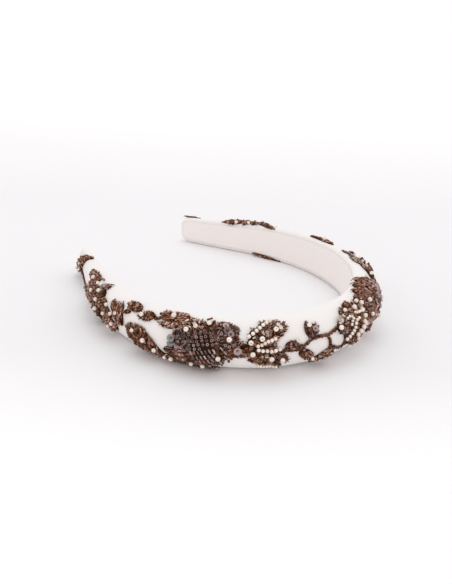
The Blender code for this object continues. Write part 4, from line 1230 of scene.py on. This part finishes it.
def bump_from(tree, shader, height, strength, distance):
    """Turns a height into the shader's normal."""
    bump = add_node(tree, "Bump", {"Height": height, "Strength": strength, "Distance": distance})
    link(tree, (bump.outputs[0], shader.inputs["Normal"]))


def new_group(name, inputs, outputs):
    """An empty node group with its sockets, and the nodes that stand for what goes in and comes out."""
    group = bpy.data.node_groups.new(name, "ShaderNodeTree")
    for direction, rows in (("INPUT", inputs), ("OUTPUT", outputs)):
        for title, kind, *default in rows:
            socket = group.interface.new_socket(title, in_out=direction, socket_type="NodeSocket" + kind)
            for value in default:
                socket.default_value = value
    enter, leave = group.nodes.new("NodeGroupInput"), group.nodes.new("NodeGroupOutput")
    return group, enter.outputs, leave.inputs


# Scales and depths of the materials' fine forms: the cloudiness, the coil's turns in millimetres and their
# slant, the slubs along and across the threads, and the depth of coil and weave in metres.
HAZE_SCALE = 1700
COIL_PITCH, COIL_SLANT = 0.24, 0.15
SLUB_SCALE = (0.35, 3.2, 1)
COIL_DEPTH, WEAVE_DEPTH = 0.00006, 0.00012

# How strongly the threads' crowns lighten the cloth, as painted light on the crowns and painted shade between
# the threads, and how strongly the slubs tone it; how strongly the coil shows, and by how much the cloudiness
# raises the roughness of beads from a little under its plain value.
CROWN_PAINTED_LIGHT, SLUB_SHADE = 0.5, 0.7
COIL_STRENGTH = 0.55
HAZE_ROUGHER, HAZE_SMOOTHER = 0.18, 0.06


def bead_tone_group():
    """The colour of each bead or wire: between its dark and light tone by its own tint and a fine
    cloudiness. It also gives the cloudiness."""
    group, enter, leave = new_group(
        "bead_tone", (("Dark", "Color"), ("Light", "Color"), ("Cloud", "Float", 0.3)),
        (("Color", "Color"), ("Haze", "Float")))
    tint = add_node(group, "Attribute", attribute_name="tint").outputs["Fac"]
    haze = noise(group, add_node(group, "TexCoord").outputs["Object"], HAZE_SCALE)
    cloud = maths(group, "MULTIPLY", maths(group, "SUBTRACT", haze, 0.5), enter["Cloud"])
    factor = between(group, maths(group, "ADD", tint, cloud))
    link(group, (blend_colour(group, factor, enter["Dark"], enter["Light"]), leave["Color"]),
         (haze, leave["Haze"]))
    return group


def coil_group():
    """The turns of a coiled wire: a sine wave along the wire that slants as it goes round, on the wire's
    own map in millimetres. It gives a height."""
    group, enter, leave = new_group("coil", (("Pitch", "Float", COIL_PITCH),), (("Height", "Float"),))
    flat = add_node(group, "UVMap", uv_map="cloth").outputs[0]
    along, about = add_node(group, "SeparateXYZ", (flat,)).outputs[:2]
    slant = maths(group, "MULTIPLY_ADD", about, COIL_SLANT, along)
    round_it = maths(group, "MULTIPLY", maths(group, "DIVIDE", slant, enter["Pitch"]), 2 * np.pi)
    link(group, (maths(group, "MULTIPLY_ADD", maths(group, "SINE", round_it), 0.5, 0.5), leave["Height"]))
    return group


def weave_group():
    """A woven surface from coordinates in millimetres: warp and weft threads that pass over each other,
    with slubs. It gives a height, and a mask that is high on the threads' crowns."""
    group, enter, leave = new_group(
        "weave", (("Vector", "Vector"), ("Threads", "Float", 2.0), ("Slub", "Float", 0.4)),
        (("Height", "Float"), ("Mask", "Float"), ("Slubs", "Float")))
    sides = add_node(group, "SeparateXYZ", (enter["Vector"],)).outputs[:2]
    pace = maths(group, "MULTIPLY", enter["Threads"], np.pi)
    waves = [maths(group, "SINE", maths(group, "MULTIPLY", side, pace)) for side in sides]
    warp, weft = (maths(group, "ABSOLUTE", wave) for wave in waves)
    over = maths(group, "GREATER_THAN", maths(group, "MULTIPLY", *waves), 0.0)
    high = maths(group, "MULTIPLY", warp, over)
    low = maths(group, "MULTIPLY", weft, maths(group, "SUBTRACT", 1.0, over))
    crowns = maths(group, "ADD", high, low)
    stretch = add_node(group, "Mapping", {"Vector": enter["Vector"], "Scale": SLUB_SCALE})
    slubs = noise(group, stretch.outputs[0], 1.0, 3.0)
    height = maths(group, "ADD", crowns, maths(group, "MULTIPLY", slubs, enter["Slub"]))
    link(group, (height, leave["Height"]), (crowns, leave["Mask"]), (slubs, leave["Slubs"]))
    return group


def new_material(name, **values):
    """A Principled material with its uniform values set straight on the shader. Returns the material,
    its tree and its shader."""
    made = bpy.data.materials.new(name)
    made.use_nodes = True
    shader = made.node_tree.nodes["Principled BSDF"]
    for key, value in values.items():
        shader.inputs[key.replace("_", " ")].default_value = value
    return made, made.node_tree, shader


def cloth_material(name, group, threads, slub, low, high, strength, **values):
    """Woven cloth on the piece's own flat map, in millimetres, a little uneven in tone from its slubs, with
    painted light on the threads' crowns and painted shade between them.
    """
    made, tree, shader = new_material(name, **values)
    flat = add_node(tree, "UVMap", uv_map="cloth").outputs[0]
    inputs = {"Vector": flat, "Threads": threads, "Slub": slub}
    weave = add_node(tree, "Group", inputs, node_tree=group).outputs
    slubs = maths(tree, "MULTIPLY", weave["Slubs"], SLUB_SHADE)
    # Painted light and shade: the base colour is lighter on the threads' crowns and darker between them; the
    # slubs add the thread's own uneven tone.
    crown_light_and_slubs = maths(tree, "MULTIPLY_ADD", weave["Mask"], CROWN_PAINTED_LIGHT, slubs)
    link(tree, (blend_colour(tree, crown_light_and_slubs, low, high), shader.inputs["Base Color"]))
    bump_from(tree, shader, weave["Height"], strength, WEAVE_DEPTH)
    return made


def bead_material(name, group, tones, cloud=0.3, coil=None, **values):
    """Glass, pearl or wire: toned by the bead's own tint, with a finish that varies with its cloudiness.
    ``coil`` adds the turns of a wire."""
    made, tree, shader = new_material(name, **values)
    inputs = {"Dark": (*tones[0], 1), "Light": (*tones[1], 1), "Cloud": cloud}
    tone = add_node(tree, "Group", inputs, node_tree=group).outputs
    rough = maths(tree, "MULTIPLY_ADD", tone["Haze"], HAZE_ROUGHER, values["Roughness"] - HAZE_SMOOTHER)
    link(tree, (tone["Color"], shader.inputs["Base Color"]), (rough, shader.inputs["Roughness"]))
    if coil:
        height = add_node(tree, "Group", node_tree=coil).outputs["Height"]
        bump_from(tree, shader, height, COIL_STRENGTH, COIL_DEPTH)
    return made


def make_looks():
    """Every material by its look. Wires, glass and sequins go by the first letter of their tone."""
    tone, weave, coil = bead_tone_group(), weave_group(), coil_group()
    looks = {
        "cover": cloth_material("ivory_satin", weave, 3.4, 0.9, (0.850, 0.812, 0.790), (0.915, 0.890, 0.872),
                                0.2, Roughness=0.66, Sheen_Weight=0.2, Sheen_Roughness=0.4),
        "lining": cloth_material("linen_ribbon", weave, 1.7, 1.2,
                                 (0.880, 0.822, 0.794), (0.968, 0.930, 0.908),
                                 0.4, Roughness=0.85, Sheen_Weight=0.1),
        "ground": bead_material("umber_thread", tone, ((0.022, 0.007, 0.003), (0.050, 0.018, 0.009)), 1.2,
                                Roughness=0.8, Specular_IOR_Level=0.15),
        "ivory_thread": bead_material("ivory_thread", tone, ((0.76, 0.72, 0.68), (0.87, 0.84, 0.81)), 0.6,
                                      Roughness=0.7),
        "pearl": bead_material("ivory_pearl", tone, ((0.84, 0.71, 0.60), (0.96, 0.88, 0.80)), 0.25,
                               Roughness=0.24, Coat_Weight=0.6, Coat_Roughness=0.1),
    }
    for name, tones in TONES.items():
        letter = name[0]
        looks[letter + "_wire"] = bead_material(name + "_wire", tone, tones, 0.9, coil, Roughness=0.30,
                                                Metallic=0.95)
        looks[letter] = bead_material(name + "_glass", tone, tones, 0.35, Roughness=0.20, Metallic=0.6,
                                      Coat_Weight=0.15, Coat_Roughness=0.08)
        looks[letter + "_sequin"] = bead_material(name + "_sequin", tone, tones, 0.25, Roughness=0.28,
                                                  Metallic=0.45, Coat_Weight=0.3)
    return looks


def tip_squeeze(left, corner):
    """How much is lost on each side where a corner is rounded, at a distance left to the end."""
    run = np.clip(1 - left / corner, 0, 1)
    return corner * (1 - np.sqrt(1 - run ** 2))


def both_ways(half):
    """Places on both arms from those on one, which begin at the crown."""
    return np.concatenate([-half[:0:-1], half])


def closing(end, run, steps):
    """Places over a last run before an end, closer together towards it."""
    return end - run * (1 - np.sin(np.linspace(0, np.pi / 2, steps)))


def at_way(way, key):
    """A column of the band's table at each share of the way to the tip."""
    return np.interp(way, BAND["way"], BAND[key])


def inner_points(way, up, out):
    """World points by the share of the way along the inner face, the height above the middle of the
    section, and the distance out from the inner face."""
    turn = at_way(way, "turn")
    x = at_way(way, "x") + np.sin(turn) * out + SHIFT_X
    y = at_way(way, "y") + np.cos(turn) * out + SHIFT_Y
    return np.stack([x, y, at_way(way, "width") / 2 + up], axis=-1)


# The cover's steps across and the share of them that lies on the dome, how far its seams reach past the
# rim, and the channel behind the lining: its depth at each height, where the heights are shares of the
# way from the middle to the seam, how far from the tips it begins and over what length it deepens.
COVER_STEPS = 141
DOME_SHARE = 0.78
SEAM_REACH = 0.55
CHANNEL_DEPTHS = np.array([0.5, 0.9, 0.9, 0.9, 0.5])
CHANNEL_LEVELS = np.array([1.0, 0.97, 0.0, -0.97, -1.0])
CHANNEL_END, CHANNEL_RUN = 5.5, 3.0
FACE_CORNER = 1.9


def padded_cover(looks):
    """The stuffed cover: the section from one inner seam, over the rim, round the outside and back to the
    other seam, with a shallow channel behind the lining that runs out before the tips. Near the tips the
    section draws in as a rounded corner from both edges and from both faces."""
    end = BAND["along"][-1]
    tip = closing(end, 4.2, 16) - 0.02
    along = both_ways(np.concatenate([np.linspace(0, tip[0], 240)[:-1], tip]))[:, None]
    girth = np.interp(along, BAND["along"], GIRTH)
    ahead = np.linspace(-1, 1, COVER_STEPS)[None]
    past = (np.abs(ahead) - DOME_SHARE) / (1 - DOME_SHARE) * (RIM + SEAM_REACH)
    across = np.where(np.abs(ahead) < DOME_SHARE, ahead / DOME_SHARE * girth, np.sign(ahead) * (girth + past))
    points = on_cloth(along, across, 0.0)
    way = np.interp(along, BAND["along"], BAND["way"])
    width = at_way(way, "width")
    left = end - np.abs(along)
    channel = np.clip((left - CHANNEL_END) / CHANNEL_RUN, 0, 1) * CHANNEL_DEPTHS
    level = CHANNEL_LEVELS * (width / 2 - EDGE_ROUND_DOWN - SEAM_REACH)
    rings = np.concatenate([points, inner_points(way + 0 * level, level, channel)], axis=1)
    lost = tip_squeeze(left, TIP_CORNER)
    rings[..., 2] = width / 2 + (rings[..., 2] - width / 2) * (1 - 2 * lost / width)
    centre = inner_points(way, 0 * way, at_way(way, "thickness") / 2)[..., :2]
    shrink = 1 - tip_squeeze(left, FACE_CORNER) / FACE_CORNER * 0.97
    rings[..., :2] = centre + (rings[..., :2] - centre) * shrink[..., None]
    girdle = np.concatenate([across, np.linspace(30, 40, 5) + 0 * width], axis=1)
    work = Work()
    faces = [group[:, ::-1] for group in wrap(*rings.shape[:2])]
    work.add(rings, faces, "cover", 0.5, np.stack([along + 0 * girdle, girdle], axis=-1))
    piece = work.make("padded_cover", looks)
    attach(piece, "root")
    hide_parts("padded_band")


# The ribbon: the gap that it leaves to each tip, the steps across its shown and its hidden face, its round
# corners, and how far its middle bellies out.
RIBBON_GAP = 3.4
SHOWN_STEPS, HIDDEN_STEPS = 29, 9
RIBBON_CORNER = 3.0
RIBBON_BELLY = 0.22


def lining_ribbon(looks):
    """The ribbon: a thin closed strip whose edges lie on the cover and whose middle bellies out a little,
    with round ends."""
    end = 1 - RIBBON_GAP / ARM_LENGTH
    way = both_ways(np.concatenate([np.linspace(0, end - 0.02, 150)[:-1], closing(end, 0.02, 12)]))[:, None]
    left = (end - np.abs(way)) * ARM_LENGTH
    reach = at_way(way, "width") / 2 - EDGE_ROUND_DOWN - 0.1 - tip_squeeze(left, RIBBON_CORNER) * 0.98
    cross = np.concatenate([np.linspace(-1, 1, SHOWN_STEPS), np.linspace(0.99, -0.99, HIDDEN_STEPS)])[None]
    swell = (1 - np.abs(cross) ** 5) * np.clip(left / 4, 0.1, 1)
    wave = 0.03 * np.sin(way * 85 + 3 * cross) * swell
    inside = np.clip((0.93 - np.abs(cross)) / 0.1, 0, 1) * np.clip((left - 6) / 3, 0, 1)
    shown = np.arange(cross.size) < SHOWN_STEPS
    out = np.where(shown, -0.17 - RIBBON_BELLY * swell + wave, -0.015 + 0.35 * inside)
    points = inner_points(way + 0 * cross, reach * cross, out)
    flat = np.stack([way * ARM_LENGTH + 0 * cross, reach * cross], axis=-1)
    work = Work()
    work.add(points, wrap(*points.shape[:2]), "lining", 0.5, flat)
    piece = work.make("lining_ribbon", looks)
    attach(piece, "root")
    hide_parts("lining")


# Slip stitches: how many on each edge, their thread's radius, half of their length and of their slant.
STITCH_COUNT = 124
THREAD_RADIUS = 0.12
STITCH_HALF, STITCH_SLANT = 0.35, 0.3


def lining_stitches(looks):
    """Slip stitches along both edges of the ribbon: short slanting dashes of thread, each a thin tube of
    rings that close towards its ends."""
    way = np.linspace(-0.974, 0.974, STITCH_COUNT)
    step = np.linspace(-1, 1, 7)[None, :, None]
    angle = turns(6)
    size = THREAD_RADIUS * np.sqrt(np.clip(1 - step ** 2, 0.04, 1))
    work = Work()
    for sign in (-1, 1):
        edge = sign * (at_way(way, "width") / 2 - EDGE_ROUND_DOWN - 0.12)
        place = way[:, None, None] + (STITCH_HALF * step + 0 * angle) / ARM_LENGTH
        up = edge[:, None, None] + sign * STITCH_SLANT * step + size * np.cos(angle)
        out = -0.13 - 0.10 * (1 - step ** 2) + size * np.sin(angle)
        points = inner_points(place, up, out + 0 * up).reshape(len(way), -1, 3)
        faces = [group if sign < 0 else group[:, ::-1] for group in wrap(step.size, len(angle))]
        work.add_copies(points, faces, "ivory_thread", RANDOM.random(len(way)))
    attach(work.make("lining_stitches", looks), "root")


def sewn(work, name, looks, replaces):
    """The piece from all that was sewn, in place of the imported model's nodes."""
    piece = work.make(name, looks)
    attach(piece, "root")
    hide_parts(*replaces)


def beaded_motif(name, looks):
    """A leaf or a flower: its ground, wires and beads, its raised middle and its smaller leaves."""
    motif, work, pearls, nodes = MOTIFS[name], Work(), pearls_on(name), [name]
    motif.lay_ground(work)
    motif.fill(work, pearls)
    sew_beads(work, name, motif.bed)
    if name in HEARTS:
        FILL_HEART[name](work, motif, np.array(HEARTS[name][:2]), pearls)
        nodes.append(name + "_heart")
    for row in SPRIGS.get(name, ()):
        sprig = Leaf((name, *row))
        sprig.lay_ground(work)
        sprig.fill(work, pearls)
    sewn(work, "beaded_" + name, looks, nodes)


def beaded_stem(name, looks):
    """A stem, with its pearls where it has any."""
    work = Work()
    stitched_stem(work, VINES[name])
    sew_beads(work, name, level_bed(GROUND_STEM))
    sewn(work, "beaded_" + name, looks, [name])


def joining_stems(looks):
    """All the short stems, as one piece."""
    work = Work()
    for points in SHORT_STEMS:
        stitched_stem(work, points)
    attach(work.make("joining_stems", looks), "root")


def main_pearls(looks):
    """Each main pearl as a piece of its own."""
    for number, (along, across, diameter, name) in enumerate(PEARLS, 1):
        work = Work()
        add_pearl(work, along, across, diameter, MOTIFS[name].bed)
        sewn(work, "round_pearl_%02d" % number, looks, ["pearl_%02d" % number])


# The table: its half width, how far its top lies under the object, and its colour about the object, darker
# there as painted shade, and further off, brighter as painted light.
TABLE_REACH = 4.0
TABLE_DROP = 0.0001
FLOOR_SHADE_NEAR = (0.875, 0.868, 0.882)
FLOOR_LIT_FAR = (0.975, 0.973, 0.978)
# How the brighter colour of painted light sets in towards the front and behind, each as a slope for each
# metre and a start, and how cloudily, as a strength and a shift.
FRONT_SLOPE, BEHIND_SLOPE, FLOOR_CLOUD = (13.0, -0.80), (-3.4, -0.55), (0.16, -0.04)

# Light: where the sun lamp stands, its width in degrees, its strength and colour, and the sky's.
SUN_FROM = (-0.22, -0.16, 1.0)
SUN_WIDTH = 45
SUN_STRENGTH = 0.50
SUN_COLOUR = (0.74, 1.0, 1.06)
SKY_STRENGTH = 0.945
SKY_COLOUR = (1.0, 0.945, 0.935)

# The camera, at the photograph's angle: the picture's height and the focal length in pixels, the point
# that it looks at, its distance, and its azimuth, elevation and roll.
PHOTO_HEIGHT = 584
FOCAL_PIXELS = 684.6
CAMERA_TARGET = (0.0144, 0.0191, 0.013)
CAMERA_DISTANCE = 0.3589
CAMERA_AZIMUTH, CAMERA_ELEVATION, CAMERA_ROLL = np.radians((133.43, 26.06, -2.82))


def table_top():
    """A wide pale table with painted light: darker about the object as painted shade, and a little brighter
    in front of it and far behind it, where it only fills the picture's edges."""
    made, tree, shader = new_material("white_table", Roughness=0.8)
    place = add_node(tree, "TexCoord").outputs["Object"]
    forward = (np.sin(CAMERA_AZIMUTH), -np.cos(CAMERA_AZIMUTH), 0)
    towards = add_node(tree, "VectorMath", (place, forward), operation="DOT_PRODUCT").outputs["Value"]
    front = maths(tree, "MULTIPLY_ADD", towards, *FRONT_SLOPE)
    behind = maths(tree, "MULTIPLY_ADD", towards, *BEHIND_SLOPE)
    cloud = maths(tree, "MULTIPLY_ADD", noise(tree, place, 3.0), *FLOOR_CLOUD)
    far = maths(tree, "MAXIMUM", maths(tree, "MAXIMUM", front, behind), 0.0)
    # far is the share of the brighter painted light; at nought the table keeps the painted shade about the
    # object.
    far = between(tree, maths(tree, "ADD", far, cloud))
    link(tree, (blend_colour(tree, far, FLOOR_SHADE_NEAR, FLOOR_LIT_FAR), shader.inputs["Base Color"]))
    mesh = bpy.data.meshes.new("table_top")
    corners = [(x * TABLE_REACH, y * TABLE_REACH, -TABLE_DROP)
               for x, y in ((-1, -1), (1, -1), (1, 1), (-1, 1))]
    mesh.from_pydata(corners, [], [(0, 1, 2, 3)])
    mesh.materials.append(made)
    add_object("table_top", mesh)


def turn_towards(back, up):
    """The turn of a lamp or camera whose back points along one direction, with another direction up."""
    back = unit(np.asarray(back, float))
    right = unit(np.cross(up, back))
    return right, np.cross(back, right), back


def stand(made, place, turn):
    """Puts a lamp or camera at a place, with its three own directions as the turn gives them."""
    turn = Matrix(np.stack(turn, axis=1).tolist()).to_4x4()
    made.matrix_world = Matrix.Translation(tuple(map(float, place))) @ turn


def daylight():
    """A wide soft sun lamp from above, and an even sky that the camera sees as plain white."""
    world = bpy.data.worlds.new("soft_daylight")
    world.use_nodes = True
    tree = world.node_tree
    sky = tree.nodes["Background"]
    sky.inputs["Color"].default_value = (*SKY_COLOUR, 1)
    sky.inputs["Strength"].default_value = SKY_STRENGTH
    white = add_node(tree, "Background", {"Color": (1, 1, 1, 1)})
    seen = add_node(tree, "LightPath").outputs["Is Camera Ray"]
    mix = add_node(tree, "MixShader", (seen, sky.outputs[0], white.outputs[0]))
    link(tree, (mix.outputs[0], tree.nodes["World Output"].inputs["Surface"]))
    bpy.context.scene.world = world
    lamp = bpy.data.lights.new("window_light", "SUN")
    lamp.angle = np.radians(SUN_WIDTH)
    lamp.energy = SUN_STRENGTH
    lamp.color = SUN_COLOUR
    stand(add_object("window_light", lamp), (0, 0, 0.5), turn_towards(SUN_FROM, (0, 1, 0.01)))


def camera():
    """A camera at the photograph's angle: a direction from the target by azimuth and elevation, and a
    roll."""
    flat = np.cos(CAMERA_ELEVATION)
    back = np.array([np.sin(CAMERA_AZIMUTH) * flat, -np.cos(CAMERA_AZIMUTH) * flat, np.sin(CAMERA_ELEVATION)])
    right, up, back = turn_towards(back, (0, 0, 1))
    turn_right = right * np.cos(CAMERA_ROLL) - up * np.sin(CAMERA_ROLL)
    turn_up = right * np.sin(CAMERA_ROLL) + up * np.cos(CAMERA_ROLL)
    place = np.array(CAMERA_TARGET) + (SHIFT_X * MM, SHIFT_Y * MM, 0) + back * CAMERA_DISTANCE
    lens = bpy.data.cameras.new("photo_camera")
    lens.lens = FOCAL_PIXELS * lens.sensor_width / PHOTO_HEIGHT
    lens.clip_start = 0.01
    made = add_object("photo_camera", lens)
    stand(made, place, (turn_right, turn_up, back))
    bpy.context.scene.camera = made


def main():
    """Sews every piece, then sets the table, the light and the camera."""
    looks = make_looks()
    padded_cover(looks)
    lining_ribbon(looks)
    lining_stitches(looks)
    for name in MOTIFS:
        beaded_motif(name, looks)
    for name in VINES:
        beaded_stem(name, looks)
    joining_stems(looks)
    main_pearls(looks)
    table_top()
    daylight()
    camera()
    bpy.context.scene.view_settings.view_transform = "Standard"


main()
